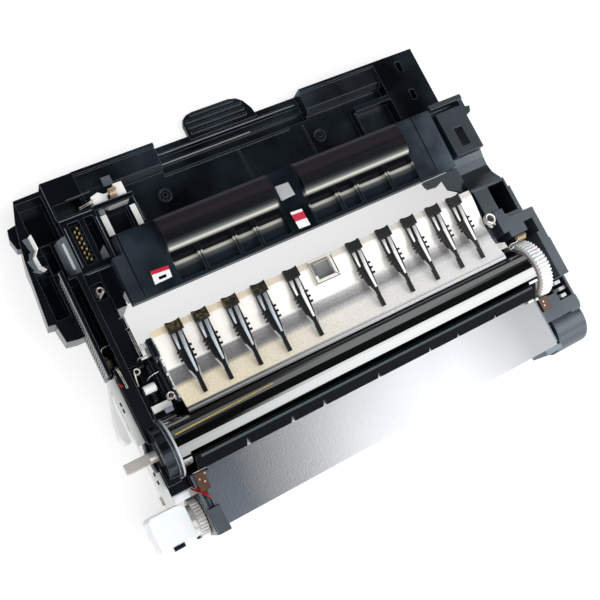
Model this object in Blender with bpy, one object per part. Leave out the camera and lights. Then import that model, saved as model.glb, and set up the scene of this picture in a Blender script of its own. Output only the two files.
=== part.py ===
"""Printer drum unit, built in millimetres and written out in metres, +Z up.

X runs along the drum, Y from the front plate to the rear grip, Z up from the floor.
"""
import math

import bmesh
import bpy
from mathutils import Matrix

MM = 0.001
SEAT = 0.3

# middle of the footprint, measured from the middle of the drum
MIDDLE_X = -2.6
MIDDLE_Y = 60.3

# drum and its axis
DRUM_RADIUS = 15.0
DRUM_HALF = 116.0
DRUM_WALL = 1.2
WALL_INSET = 12.0
AXIS_Y = 0.0
AXIS_Z = 30.0
SHAFT_RADIUS = 3.0
SHAFT_LEFT = -DRUM_HALF - 25.5
SHAFT_RIGHT = DRUM_HALF + 17.0
GEAR_WIDTH = 7.6
GEAR_TEETH = 48
GEAR_TIP_RADIUS = 17.9
GEAR_ROOT_RADIUS = 16.6
RIM_RADIUS = 15.7
RIM_WIDTH = 2.3

# roller axis in front of the drum
FEED_Y = -37.6
FEED_Z = 18.0
FEED_SHAFT = 2.3
FEED_TEETH = 36
FEED_TIP_RADIUS = 11.0
FEED_ROOT_RADIUS = 10.2
CAP_RADIUS = 14.6
CAP_LEFT = DRUM_HALF + SEAT
CAP_RIGHT = DRUM_HALF + 22.4

# charge roller below the drum
CHARGE_RADIUS = 4.5
CHARGE_GAP = 0.38
CHARGE_TURN = math.radians(23.73)
CHARGE_REACH = DRUM_RADIUS + CHARGE_RADIUS + CHARGE_GAP
CHARGE_Y = AXIS_Y - CHARGE_REACH * math.sin(CHARGE_TURN)
CHARGE_Z = AXIS_Z - CHARGE_REACH * math.cos(CHARGE_TURN)
CHARGE_HALF = DRUM_HALF - 6.0
CHARGE_SHAFT = 2.0
CHARGE_LEFT = -DRUM_HALF - 5.0
CHARGE_RIGHT = DRUM_HALF - 0.6

# guide sheet and its fingers
SHEET_LEFT = WALL_INSET + 2.0 - DRUM_HALF
SHEET_RIGHT = DRUM_HALF - WALL_INSET - 0.5
SHEET_THICK = 1.2
FINGER_REACH = DRUM_HALF - 26.0
FINGER_SHARES = (-1.0, -0.8333, -0.6389, -0.4456, -0.2244, 0.2244, 0.4456, 0.6389, 0.8333, 1.0)
FINGER_PIVOT_Y = 56.5
FINGER_PIVOT_Z = 42.0

# front plate and notched strip
PLATE_LEFT = -DRUM_HALF + 5.6
PLATE_RIGHT = DRUM_HALF - 6.4
PLATE_REAR = -15.8
PLATE_FRONT = -46.3
PLATE_TOP = 37.0
STRIP_HALF = DRUM_HALF - 6.0
NOTCH_X = (-80.5, -54.0, -34.5, 0.3, 34.8, 54.5, 81.2)

# side frames, with X measured outwards or inwards from the drum's ends
FRAME_TOP = 36.0
RIGHT_TOP = 42.0
LEFT_INNER = WALL_INSET - DRUM_HALF
RIGHT_INNER = DRUM_HALF - WALL_INSET

# waste box
BOX_LEFT = LEFT_INNER + SEAT
BOX_RIGHT = RIGHT_INNER - 1.0
BOX_FRONT = 73.0
BOX_REAR = 110.0
LID_TOP = 42.5
HUMPS = ((-75.5, -8.6), (8.2, 77.6))
HUMP_RIBS = (-60.0, -39.2, -26.5, 26.0, 38.9, 59.8)

# rear tray
TRAY_FLOOR = 7.0
TRAY_LEFT = LEFT_INNER + 5.8
TRAY_RIGHT = DRUM_HALF + 16.0
TRAY_REAR = 159.5
LEDGE_TOP = 15.0
NOTCH_HALF = 48.5


def clear_scene():
    for old in list(bpy.data.objects):
        bpy.data.objects.remove(old, do_unlink=True)


def link(name, bm):
    bmesh.ops.recalc_face_normals(bm, faces=bm.faces)
    mesh = bpy.data.meshes.new(name)
    bm.to_mesh(mesh)
    bm.free()
    body = bpy.data.objects.new(name, mesh)
    bpy.context.scene.collection.objects.link(body)
    return body


def loft(name, near, far):
    """Closed solid between two rings of points with the same count."""
    bm = bmesh.new()
    a = [bm.verts.new(p) for p in near]
    b = [bm.verts.new(p) for p in far]
    count = len(a)
    bm.faces.new(a)
    bm.faces.new(list(reversed(b)))
    for i in range(count):
        j = (i + 1) % count
        bm.faces.new((a[j], a[i], b[i], b[j]))
    return link(name, bm)


def box(x0, x1, y0, y1, z0, z1):
    near = [(x0, y0, z0), (x1, y0, z0), (x1, y1, z0), (x0, y1, z0)]
    far = [(x, y, z1) for x, y, z in near]
    return loft("piece", near, far)


def prism_z(outline, z0, z1):
    near = [(x, y, z0) for x, y in outline]
    far = [(x, y, z1) for x, y in outline]
    return loft("piece", near, far)


def prism_x(outline, x0, x1):
    near = [(x0, y, z) for y, z in outline]
    far = [(x1, y, z) for y, z in outline]
    return loft("piece", near, far)


def prism_y(outline, y0, y1):
    near = [(x, y0, z) for x, z in outline]
    far = [(x, y1, z) for x, z in outline]
    return loft("piece", near, far)


def rod_x(y, z, radius, x0, x1, count=40):
    turn = [2.0 * math.pi * k / count for k in range(count)]
    ring = [(y + radius * math.cos(t), z + radius * math.sin(t)) for t in turn]
    return prism_x(ring, x0, x1)


def rod_z(x, y, radius, z0, z1, count=24):
    turn = [2.0 * math.pi * k / count for k in range(count)]
    ring = [(x + radius * math.cos(t), y + radius * math.sin(t)) for t in turn]
    return prism_z(ring, z0, z1)


def toothed_ring(tip, root, teeth):
    points = []
    for k in range(teeth):
        for part, radius in ((0.0, root), (0.32, tip), (0.62, tip), (0.94, root)):
            t = 2.0 * math.pi * (k + part) / teeth
            points.append((radius * math.cos(t), radius * math.sin(t)))
    return points


def apply_boolean(body, tool, operation):
    step = body.modifiers.new("step", "BOOLEAN")
    step.operation = operation
    step.solver = "EXACT"
    step.object = tool
    graph = bpy.context.evaluated_depsgraph_get()
    result = bpy.data.meshes.new_from_object(body.evaluated_get(graph))
    body.modifiers.clear()
    body.data = result
    bpy.data.objects.remove(tool, do_unlink=True)


def combine(adds, cuts):
    body = adds[0]
    for tool in adds[1:]:
        apply_boolean(body, tool, "UNION")
    for tool in cuts:
        apply_boolean(body, tool, "DIFFERENCE")
    return body


def finish(name, adds, cuts=(), origin=(0.0, 0.0, 0.0), end=0.0):
    """Join the solids, cut the rest away and write the node in metres.

    The X values of the solids count from end, such as the drum's left or right end.
    """
    body = combine(adds, cuts)
    bm = bmesh.new()
    bm.from_mesh(body.data)
    bmesh.ops.remove_doubles(bm, verts=bm.verts, dist=0.004)
    bmesh.ops.dissolve_degenerate(bm, edges=bm.edges, dist=0.004)
    shift = Matrix.Translation((end - origin[0], -origin[1], -origin[2]))
    bmesh.ops.transform(bm, matrix=Matrix.Scale(MM, 4) @ shift, verts=bm.verts)
    bmesh.ops.triangulate(bm, faces=bm.faces)
    bmesh.ops.recalc_face_normals(bm, faces=bm.faces)
    mesh = bpy.data.meshes.new(name)
    bm.to_mesh(mesh)
    bm.free()
    body.data = mesh
    body.name = name
    body.location = [(v - c) * MM for v, c in zip(origin, (MIDDLE_X, MIDDLE_Y, 0.0))]
    return body


def build_drum():
    axis = (0.0, AXIS_Y, AXIS_Z)
    bore = DRUM_RADIUS - DRUM_WALL
    finish("drum_sleeve",
           [rod_x(AXIS_Y, AXIS_Z, DRUM_RADIUS, -DRUM_HALF, DRUM_HALF, 64)],
           [rod_x(AXIS_Y, AXIS_Z, bore, -DRUM_HALF - 1, DRUM_HALF + 1, 48)], axis)
    ring = toothed_ring(GEAR_TIP_RADIUS, GEAR_ROOT_RADIUS, GEAR_TEETH)
    ring = [(y + AXIS_Y, z + AXIS_Z) for y, z in ring]
    left = DRUM_HALF + SEAT
    hub = bore - SEAT
    finish("drum_gear",
           [prism_x(ring, left, left + GEAR_WIDTH),
            rod_x(AXIS_Y, AXIS_Z, hub, left - 6.0, left + 1.0, 40)],
           [rod_x(AXIS_Y, AXIS_Z, SHAFT_RADIUS + SEAT, left - 7.0, left + 9.0, 24)], axis)
    rim = -DRUM_HALF - SEAT
    finish("drum_flange",
           [rod_x(AXIS_Y, AXIS_Z, RIM_RADIUS, rim - RIM_WIDTH, rim, 64),
            rod_x(AXIS_Y, AXIS_Z, hub, rim - 1.0, rim + 6.0, 40)],
           [rod_x(AXIS_Y, AXIS_Z, SHAFT_RADIUS + SEAT, rim - 4.0, rim + 7.0, 24)], axis)
    flat = box(SHAFT_LEFT - 1.0, SHAFT_LEFT + 13.0, -5.0, 5.0, AXIS_Z + 1.9, AXIS_Z + 6.0)
    finish("drum_shaft",
           [rod_x(AXIS_Y, AXIS_Z, SHAFT_RADIUS, SHAFT_LEFT, SHAFT_RIGHT, 24)],
           [flat], axis)
    finish("charge_roller",
           [rod_x(CHARGE_Y, CHARGE_Z, CHARGE_RADIUS, -CHARGE_HALF, CHARGE_HALF, 32),
            rod_x(CHARGE_Y, CHARGE_Z, CHARGE_SHAFT, CHARGE_LEFT, CHARGE_RIGHT, 16)],
           (), (0.0, CHARGE_Y, CHARGE_Z))


SHEET_LINE = ((57.0, 41.0), (53.5, 41.0), (50.0, 40.6), (46.0, 40.05), (42.0, 39.4),
              (38.0, 38.75), (35.0, 38.3), (33.0, 38.1), (30.0, 38.0), (27.0, 38.1),
              (25.0, 38.5), (22.0, 39.3), (19.0, 40.3), (16.5, 41.2), (14.2, 42.2),
              (11.4, 42.0))


def build_guide_sheet():
    under = [(y, z - SHEET_THICK) for y, z in reversed(SHEET_LINE)]
    profile = list(SHEET_LINE) + under
    pocket = prism_x([(43.0, 38.8), (43.0, 42.6), (56.6, 42.6), (56.6, 40.0), (50.0, 39.8)], -9.2, 5.6)
    hollow = box(-6.8, 3.2, 45.2, 54.0, 40.6, 43.0)
    finish("guide_sheet", [prism_x(profile, SHEET_LEFT, SHEET_RIGHT), pocket], [hollow])
    below = SHEET_THICK + SEAT
    top = [(y, z - below) for y, z in SHEET_LINE if 19.0 <= y <= 54.0]
    beam = [(19.0, 14.0), (53.5, 14.0)] + top
    finish("sheet_beam",
           [prism_x(beam, LEFT_INNER + SEAT, RIGHT_INNER - SEAT)],
           [box(LEFT_INNER + 3.0, RIGHT_INNER - 3.0, 21.5, 50.5, 12.0, 34.6)])


def build_fingers():
    for k, share in enumerate(FINGER_SHARES):
        x = round(share * FINGER_REACH, 1)
        outline = [(x - 3.8, 52.0), (x - 4.0, 46.0), (x - 4.1, 41.0), (x - 3.4, 36.0),
                   (x - 2.6, 31.0), (x - 1.1, 26.6), (x - 1.1, 17.3), (x + 1.1, 17.3),
                   (x + 1.1, 26.6), (x + 1.9, 30.0), (x + 2.9, 38.0), (x + 3.0, 52.0)]
        arm = prism_z(outline, 41.4, 42.9)
        cap = prism_z([(x - 4.2, 51.6), (x + 4.1, 51.6), (x + 4.0, 57.6), (x + 1.6, 57.0),
                       (x - 1.6, 57.0), (x - 4.1, 57.6)], 41.3, 43.9)
        bar = prism_z([(x - 0.4, 51.8), (x + 1.3, 51.8), (x + 0.2, 42.6), (x - 1.3, 42.6)],
                      42.0, 43.5)
        teeth = [box(x - 4.8, x - 3.0, y, y + 1.2, 41.4, 43.7) for y in (36.0, 38.2, 40.4)]
        teeth += [box(x + 2.2, x + 4.0, y, y + 1.2, 41.4, 43.7) for y in (36.0, 39.0, 42.0)]
        slots = [prism_z([(x - 2.9, 51.0), (x - 0.9, 51.0), (x - 2.0, 43.4), (x - 3.3, 43.4)],
                         41.0, 44.0),
                 prism_z([(x + 1.7, 51.0), (x + 2.4, 51.0), (x + 1.4, 41.0), (x + 0.8, 30.0),
                          (x + 0.1, 30.0), (x + 0.6, 41.0)], 41.0, 44.0)]
        finish("finger_%02d" % (k + 1), [arm, cap, bar] + teeth, slots,
               (x, FINGER_PIVOT_Y, FINGER_PIVOT_Z))


def build_front():
    plate = box(PLATE_LEFT, PLATE_RIGHT, PLATE_FRONT, PLATE_REAR, PLATE_TOP - 1.2, PLATE_TOP)
    corner = box(PLATE_LEFT - 1.0, PLATE_LEFT + 4.9, PLATE_REAR - 2.2, PLATE_REAR + 1.0,
                 PLATE_TOP - 3.0, PLATE_TOP + 1.0)
    finish("front_plate", [plate], [corner])
    top = PLATE_TOP - 1.2 - SEAT
    beam = [(PLATE_FRONT + 1.2, 4.0), (-17.0, 4.0), (-17.0, top), (PLATE_FRONT + 1.2, top)]
    base = prism_y([(-12.0, 31.0), (-12.0, 15.0), (-9.6, 10.6), (-5.0, 9.6), (-1.6, 11.0),
                    (-0.2, 15.0), (-0.2, 31.0)], -49.8, PLATE_FRONT - 0.4)
    root = box(-12.0, -4.4, PLATE_FRONT - 1.0, PLATE_FRONT + 2.0, 15.0, 31.0)
    for piece in (base, root):
        piece.data.transform(Matrix.Translation((DRUM_HALF, 0.0, 0.0)))
    finish("front_beam",
           [prism_x(beam, 3.9 - DRUM_HALF, DRUM_HALF - 4.3), root, base],
           [box(7.0 - DRUM_HALF, DRUM_HALF - 7.0, -42.6, -19.5, 2.0, top - 2.5),
            rod_x(FEED_Y, FEED_Z, FEED_SHAFT + SEAT, 2.0 - DRUM_HALF, DRUM_HALF - 2.0, 20)])
    line = [(-8.4, 45.6), (-9.6, 45.9), (-16.3, 39.4), (-16.3, 37.3), (-15.5, 37.3)]
    notches = []
    for x in NOTCH_X:
        notches.append(prism_z([(x - 2.2, -18.0), (x + 1.6, -18.0), (x - 0.6, -13.0),
                                (x - 1.4, -13.0)], 30.0, 50.0))
    inner_left = LEFT_INNER + SEAT
    inner_right = RIGHT_INNER - SEAT
    finish("bottom_cover",
           [box(4.1 - DRUM_HALF, inner_right, -16.7, 15.4, 0.6, 3.4),
            box(inner_left, inner_right, 10.0, 30.0, 0.6, 3.4),
            box(inner_right - 0.7, DRUM_HALF - 4.5, -16.7, 15.3, 0.6, 3.4)])
    finish("notched_strip", [prism_x(line, -STRIP_HALF, STRIP_HALF)], notches)
    seat = PLATE_TOP + SEAT
    finish("board_left", [box(2.6, 8.1, -26.5, -17.2, seat, seat + 1.2)], end=-DRUM_HALF)
    finish("board_right", [box(-3.2, 3.2, -26.2, -18.2, 35.3, 36.5)], end=DRUM_HALF)
    finish("side_block",
           [box(1.4, 8.1, -49.0, PLATE_FRONT - SEAT, 36.3, 39.6),
            box(1.4, 8.1, PLATE_FRONT - 1.0, -35.6, seat, 39.6)], end=-DRUM_HALF)


def build_feed_end():
    ring = toothed_ring(FEED_TIP_RADIUS, FEED_ROOT_RADIUS, FEED_TEETH)
    ring = [(y + FEED_Y, z + FEED_Z) for y, z in ring]
    axis = (0.0, FEED_Y, FEED_Z)
    finish("feed_gear",
           [prism_x(ring, -3.6, 0.7),
            rod_x(FEED_Y, FEED_Z, 8.2, -6.4, -3.0, 32)],
           [rod_x(FEED_Y, FEED_Z, FEED_SHAFT + SEAT, -8.0, 2.0, 20)], axis, -DRUM_HALF)
    finish("feed_shaft",
           [rod_x(FEED_Y, FEED_Z, FEED_SHAFT, -DRUM_HALF - 22.0, DRUM_HALF + 10.0, 20)],
           (), axis)
    outline = [(-26.5, -28.2), (-24.9, -26.6), (-16.5, -26.6), (-9.0, -26.9), (-6.7, -28.6),
               (-6.7, -44.0), (-9.0, -46.8), (-24.0, -46.8), (-26.5, -44.6)]
    inner = [(-24.7, -29.0), (-23.9, -28.2), (-10.6, -28.4), (-5.0, -30.2),
             (-5.0, -44.4), (-9.7, -45.9), (-23.4, -45.9), (-24.7, -44.8)]
    finish("gear_cap", [prism_z(outline, 6.0, 30.0)], [prism_z(inner, 4.0, 28.2)],
           end=-DRUM_HALF)
    finish("end_cap",
           [rod_x(FEED_Y, FEED_Z, CAP_RADIUS, CAP_LEFT, CAP_RIGHT, 56)],
           [rod_x(FEED_Y, FEED_Z, CAP_RADIUS - 2.2, CAP_LEFT - 1.0, CAP_RIGHT - 2.2, 48)])


def build_waste_box():
    step = BOX_LEFT + 5.7
    shell = prism_z([(BOX_LEFT, 82.4), (BOX_RIGHT, 82.4), (BOX_RIGHT, 109.4), (step, 109.4),
                     (step, 99.2), (BOX_LEFT, 99.2)], TRAY_FLOOR + SEAT, 36.0)
    hollow = box(step + 2.6, BOX_RIGHT - 2.5, 84.9, 106.9, 0.0, 37.0)
    finish("waste_box", [shell], [hollow])
    lid = prism_x([(BOX_FRONT, 36.3), (BOX_REAR, 36.3), (BOX_REAR, 43.6), (BOX_REAR - 2.0, 44.0),
                   (BOX_FRONT + 2.0, LID_TOP), (BOX_FRONT, LID_TOP)], BOX_LEFT, BOX_RIGHT)
    adds = [lid]
    cuts = [box(BOX_LEFT - 6.0, step, 99.2, 112.0, 30.0, 50.0)]
    for x0, x1 in HUMPS:
        cuts.append(box(x0, x1, 75.2, 111.0, 39.6, 60.0))
    cuts.append(box(-97.0, -96.2, 74.5, 111.0, 42.0, 50.0))
    cuts.append(box(89.6, 90.4, 74.5, 111.0, 42.0, 50.0))
    body = combine(adds, cuts)
    humps = []
    crown = [(110.0, 39.0), (110.0, 44.0), (107.6, 46.6), (104.0, 48.1), (99.5, 48.6), (95.0, 47.6),
             (92.0, 45.8), (89.6, 43.0), (88.0, 40.8), (86.0, 39.9), (84.5, 39.0)]
    for x0, x1 in HUMPS:
        humps.append(prism_x(crown, x0 - 0.2, x1 + 0.2))
    ribs = []
    for x in HUMP_RIBS:
        ribs.append(prism_x([(74.6, 39.0), (74.6, LID_TOP), (84.0, 43.0), (90.6, 43.4),
                             (90.6, 39.0)], x - 1.3, x + 1.3))
    grooves = [box(x - 0.35, x + 0.35, 74.0, 89.0, 41.6, 46.0) for x in HUMP_RIBS]
    finish("waste_lid", [body] + humps + ribs, grooves)


def build_tray():
    block = RIGHT_INNER - 2.0
    adds = [box(TRAY_LEFT, RIGHT_INNER - 0.5, 82.4, TRAY_REAR, 0.0, TRAY_FLOOR)]
    adds.append(box(block, TRAY_RIGHT, 112.4, TRAY_REAR, 0.0, TRAY_FLOOR))
    ledge = [(144.0, 5.0), (144.0, 10.6), (147.0, 12.6), (157.0, 13.4), (157.4, LEDGE_TOP),
             (TRAY_REAR, LEDGE_TOP), (TRAY_REAR, 5.0)]
    adds.append(prism_x(ledge, TRAY_LEFT, -NOTCH_HALF))
    adds.append(prism_x(ledge, NOTCH_HALF, RIGHT_INNER))
    lip = [(140.4, 5.0), (140.4, 7.8), (141.6, 7.8), (142.2, 5.0)]
    adds.append(prism_x(lip, -NOTCH_HALF, 34.4))
    rail = [(148.0, 2.0), (148.0, 4.8), (149.0, 4.8), (150.0, 3.4), (153.0, 3.6), (154.0, 5.2),
            (155.2, 5.2), (156.0, 3.8), (TRAY_REAR, 3.8), (TRAY_REAR, 2.0)]
    grip = [(-23.6, 157.0), (-23.6, 167.0), (-22.4, 170.0), (-19.6, 172.0), (-15.5, 172.8),
            (9.0, 172.8), (14.0, 171.6), (17.4, 168.8), (20.4, 163.0), (21.4, 157.0)]
    adds.append(box(block, TRAY_RIGHT, 112.4, TRAY_REAR, 4.0, LEDGE_TOP))
    adds.append(box(76.5, block + 1.0, 133.4, 136.6, 5.0, LEDGE_TOP))
    adds.append(box(76.2, 77.4, 111.0, 134.0, 5.0, 12.0))
    for x in (-53.4, 50.9):
        adds.append(rod_z(x, 130.4, 3.9, 5.0, 8.0))
    cuts = [box(-NOTCH_HALF, NOTCH_HALF, 142.2, 163.0, 2.2, 30.0)]
    cuts += [box(-NOTCH_HALF, NOTCH_HALF, 158.4, 163.0, -1.0, 30.0)]
    cuts += [box(block + 2.4, TRAY_RIGHT - 2.4, 114.8, 157.1, 2.0, 12.6)]
    cuts += [box(TRAY_LEFT + 8.2, RIGHT_INNER - 14.0, 86.0, 105.0, -1.0, 12.0)]
    cuts += [box(TRAY_LEFT + 2.4, block - 2.4, 111.0, 139.0, -1.0, 4.4)]
    cuts += [box(TRAY_RIGHT - 15.1, TRAY_RIGHT - 11.7, 147.4, 154.2, 10.0, 20.0)]
    cuts += [box(TRAY_RIGHT - 15.5, TRAY_RIGHT - 12.1, 127.8, 134.4, 10.0, 20.0)]
    cuts += [box(-1.2, -0.2, 112.0, 140.0, 6.4, 9.0)]
    cuts += [box(43.2, 44.2, 112.0, 140.0, 6.4, 9.0)]
    for x in (-53.4, 50.9):
        cuts.append(rod_z(x, 130.4, 3.1, 7.3, 9.0))
    base = combine(adds, cuts)
    late = [prism_x(rail, -NOTCH_HALF - 0.4, NOTCH_HALF + 0.4), prism_z(grip, 0.4, 3.9)]
    for y in (160.4, 164.0, 167.6, 171.0):
        wide = 20.4 if y < 169 else 16.0
        late.append(box(-wide - 1.2, wide - 4.8, y - 0.7, y + 0.7, 3.0, 5.2))
    for x in (-53.4, 50.9):
        late.append(rod_z(x, 130.4, 1.6, 6.4, 8.0, 16))
    finish("rear_tray", [base] + late)


def build_left_frame():
    adds = [box(-10.6, -3.3, -17.0, 100.5, 0.0, FRAME_TOP)]
    adds.append(rod_x(AXIS_Y, AXIS_Z, 15.2, -8.0, -3.0, 48))
    adds.append(box(-4.0, WALL_INSET, 15.9, 47.2, 0.0, 27.0))
    adds.append(box(-4.0, -1.2, 16.1, 20.0, 0.0, 33.0))
    adds.append(box(8.0, WALL_INSET, 24.4, 45.6, 26.0, 34.6))
    adds.append(box(-4.0, 5.8, 44.0, 100.5, 0.0, 30.0))
    adds.append(box(5.0, WALL_INSET, 76.6, 100.5, 0.0, 28.0))
    adds.append(box(-13.6, -9.0, 46.0, 105.0, 12.0, 18.0))
    adds.append(box(-13.6, -11.6, 46.0, 105.0, 12.0, 35.0))
    adds.append(prism_z([(-28.6, 83.4), (-24.9, 82.8), (-23.6, 72.0), (-17.6, 71.0),
                         (-12.6, 71.0), (-12.6, 119.0), (-25.4, 119.0)], 8.0, 24.0))
    adds.append(prism_z([(-25.4, 118.0), (-21.2, 141.0), (-17.2, 153.4), (-2.8, 153.8),
                         (-0.8, 157.4), (17.5, 157.4), (17.5, 100.0), (-25.4, 100.0)],
                        0.0, 20.0))
    adds.append(prism_z([(-21.0, 141.8), (-25.8, 140.8), (-26.8, 135.6), (-25.4, 129.0),
                         (-21.0, 128.0)], 8.0, 17.0))
    adds.append(box(-2.4, 17.5, 99.6, 131.4, 0.0, 32.0))
    adds.append(prism_y([(-7.6, 10.0), (-7.6, 22.0), (-6.6, 27.0), (-4.6, 30.4),
                         (-1.8, 32.0), (-1.8, 10.0)], 101.0, 122.6))
    adds.append(prism_x([(144.0, 5.0), (144.0, 13.0), (156.0, 14.4), (156.4, 17.0), (158.0, 17.0),
                         (158.0, 5.0)], -0.8, 17.5))
    adds.append(box(-10.6, 3.6, -22.0, -16.0, 0.0, 30.0))
    adds.append(box(1.0, 3.6, -49.0, -16.4, 4.0, FRAME_TOP))
    cuts = [box(-11.6, -6.4, 47.5, 99.0, 18.0, 40.0)]
    cuts += [box(-23.4, -15.8, 84.0, 113.0, 12.0, 40.0)]
    cuts += [box(-17.0, -2.9, 125.0, 151.0, 6.0, 40.0)]
    cuts += [box(-15.0, -9.6, 107.0, 124.4, 6.0, 40.0)]
    cuts += [box(0.2, 15.8, 133.0, 143.0, 6.0, 40.0)]
    cuts += [box(1.4, 7.4, 103.2, 127.6, 22.0, 40.0)]
    cuts += [box(10.2, 15.4, 103.2, 127.6, 18.0, 40.0)]
    cuts += [box(-1.2, 4.6, 84.0, 93.0, 22.0, 40.0)]
    cuts += [box(-3.0, 2.0, 34.0, 45.6, 20.0, 40.0)]
    cuts += [rod_x(AXIS_Y, AXIS_Z, SHAFT_RADIUS + SEAT, -14.0, 6.0, 28)]
    cuts += [rod_x(AXIS_Y, AXIS_Z, 8.6, -14.0, -8.6, 36)]
    cuts += [rod_x(CHARGE_Y, CHARGE_Z, CHARGE_SHAFT + SEAT, CHARGE_LEFT + DRUM_HALF - 0.5, 6.0, 20)]
    cuts += [rod_x(FEED_Y, FEED_Z, FEED_SHAFT + SEAT, -2.0, 6.0, 20)]
    finish("left_frame", adds, cuts, end=-DRUM_HALF)


def build_right_frame():
    adds = [box(8.4, 21.0, -12.0, 11.6, 0.0, RIGHT_TOP)]
    adds.append(prism_z([(-5.8, 15.6), (-5.8, 39.2), (2.0, 39.2), (2.0, 33.0), (20.3, 32.6),
                         (20.3, 10.0), (8.4, 10.0), (8.4, 15.6)], 0.0, RIGHT_TOP))
    adds.append(box(-9.2, 14.2, 32.0, 56.2, 0.0, 39.0))
    adds.append(box(9.0, 16.2, 32.0, 50.2, 0.0, 38.0))
    adds.append(box(-WALL_INSET, -8.6, 18.6, 58.0, 0.0, 36.0))
    adds.append(box(-WALL_INSET, -5.2, 15.6, 40.0, 0.0, 34.0))
    saddle = [(110.0, 0.0), (110.0, 38.0), (78.0, 38.0), (73.0, 36.6), (67.6, 36.0), (62.4, 37.2),
              (58.6, 40.2), (56.6, 42.0), (55.0, 42.0), (55.0, 0.0)]
    adds.append(prism_x(saddle, -WALL_INSET, 10.6))
    adds.append(box(-10.6, 8.6, 77.2, 105.4, 36.0, 45.0))
    adds.append(prism_z([(8.0, 98.0), (12.0, 99.6), (13.4, 103.2), (8.0, 103.8)], 39.0, 45.0))
    adds.append(box(-WALL_INSET, 11.4, 109.0, 112.1, 0.0, 44.6))
    adds.append(box(8.6, 11.4, 103.0, 110.0, 0.0, 43.6))
    adds.append(box(-4.0, 22.0, -33.0, -11.0, 0.0, 35.0))
    adds.append(prism_z([(15.0, -34.0), (21.6, -34.0), (23.4, -31.0), (23.4, -26.0), (21.0, -23.0),
                         (15.0, -23.0)], 20.0, 34.0))
    adds.append(prism_z([(-35.1, 72.6), (-34.8, 70.0), (-33.5, 67.8), (-27.6, 67.2), (-22.4, 69.2),
                         (-21.7, 62.9), (-15.7, 59.1), (-14.2, 56.5), (-10.0, 56.9), (-10.0, 72.6)],
                        35.0, 37.0))
    cuts = [box(-WALL_INSET - 1.0, 6.4, 59.0, 107.0, -1.0, 28.0)]
    cuts += [box(-WALL_INSET - 1.0, 6.4, 80.6, 107.0, -1.0, 34.0)]
    cuts += [box(-4.4, 1.6, 81.8, 93.6, 30.0, 50.0)]
    cuts += [box(-9.8, 8.4, 106.4, 108.4, 10.0, 60.0)]
    cuts += [box(0.9, 12.8, 35.2, 54.6, 12.0, 50.0)]
    cuts += [box(9.8, 16.4, 17.6, 26.8, 20.0, 50.0)]
    cuts += [box(-7.0, 12.2, 13.6, 21.2, 16.0, 50.0)]
    cuts += [box(-7.0, -2.2, 20.0, 25.0, 28.0, 50.0)]
    cuts += [box(-0.4, 14.2, -19.0, 12.4, 8.0, 50.0)]
    cuts += [box(-8.0, 14.4, -18.4, 20.0, 8.0, 60.0)]
    cuts += [box(11.0, 20.4, -24.6, -12.4, 14.0, 50.0)]
    cuts += [rod_x(AXIS_Y, AXIS_Z, SHAFT_RADIUS + SEAT, -6.0, 18.0, 28)]
    cuts += [rod_x(FEED_Y, FEED_Z, FEED_SHAFT + SEAT, -6.0, 2.0, 20)]
    cuts += [rod_x(FEED_Y, FEED_Z, CAP_RADIUS + SEAT, 0.0, 24.0, 56)]
    base = combine(adds, cuts)
    bearing = box(-4.2, -0.4, CHARGE_Y - 4.0, CHARGE_Y + 4.0, 0.0, CHARGE_Z + 2.7)
    foot = box(-4.2, -0.4, -13.0, CHARGE_Y, 0.0, 7.0)
    bore = rod_x(CHARGE_Y, CHARGE_Z, CHARGE_SHAFT + SEAT, -5.0, 0.0, 20)
    finish("right_frame", [base, bearing, foot], [bore], end=DRUM_HALF)


def build_small_pieces():
    left_end = -DRUM_HALF
    web = prism_y([(-11.0, 6.0), (-11.0, 33.0), (-15.0, 33.0), (-15.0, 31.8), (-12.2, 31.8),
                   (-12.2, 6.0)], -26.2, 44.0)
    hub = rod_x(AXIS_Y, AXIS_Z, 8.6, -16.0, -4.0, 36)
    finish("side_plate", [web], [hub], end=left_end)
    cover = [(-12.2, 45.6), (-15.0, 36.5), (-18.2, 26.2), (-19.6, 17.0), (-18.0, 12.0),
             (-15.3, 12.0), (-15.3, 34.0), (-12.5, 44.4)]
    finish("side_cover", [prism_z(cover, 6.0, 20.5)], end=left_end)
    finish("side_shelf", [box(-10.6, -1.6, -26.2, -22.3, 24.0, 30.0)], end=left_end)
    for k, (y, z) in enumerate(((35.0, 25.0), (19.0, 25.0), (-14.0, 25.0), (-22.0, 15.0))):
        finish("plate_screw_%d" % (k + 1), [rod_x(y, z, 2.4, -14.4, -12.5, 20)], end=left_end)
    finish("contact_plate", [box(-97.6, -74.2, 112.6, 127.0, TRAY_FLOOR + SEAT, 26.0)],
           [box(-92.5, -81.0, 114.4, 128.0, 20.0, 30.0)])
    lever = [(-96.4, 133.6), (-96.4, 138.4), (-92.0, 139.6), (-89.4, 137.6), (-82.6, 137.6),
             (-82.6, 141.0), (-77.6, 141.0), (-77.6, 130.4), (-89.0, 130.4), (-92.0, 133.0)]
    finish("release_lever", [prism_z(lever, 18.0, 27.0)],
           [rod_z(-86.3, 134.6, 2.0, 10.0, 30.0)], (-86.3, 134.6, 22.0))
    finish("lever_post", [rod_z(-86.3, 134.6, 1.7, TRAY_FLOOR + SEAT, 28.6)])
    finish("white_roller", [rod_x(32.0, 29.8, 2.5, -0.2, 6.4, 24)], end=left_end)
    finish("slide_lever", [box(-0.6, 10.0, 19.2, 23.0, 27.3, 31.2)], end=left_end)


def main():
    clear_scene()
    build_drum()
    build_guide_sheet()
    build_fingers()
    build_front()
    build_feed_end()
    build_waste_box()
    build_tray()
    build_left_frame()
    build_right_frame()
    build_small_pieces()


if __name__ == "__main__":
    main()
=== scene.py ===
"""Looks of the printer drum unit: finishes, small fittings, stage, light and camera.

Places are written in millimetres from the middle of the drum, as in the part's source.
"""
import math

import bmesh
import bpy
from mathutils import Matrix, Vector


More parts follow.
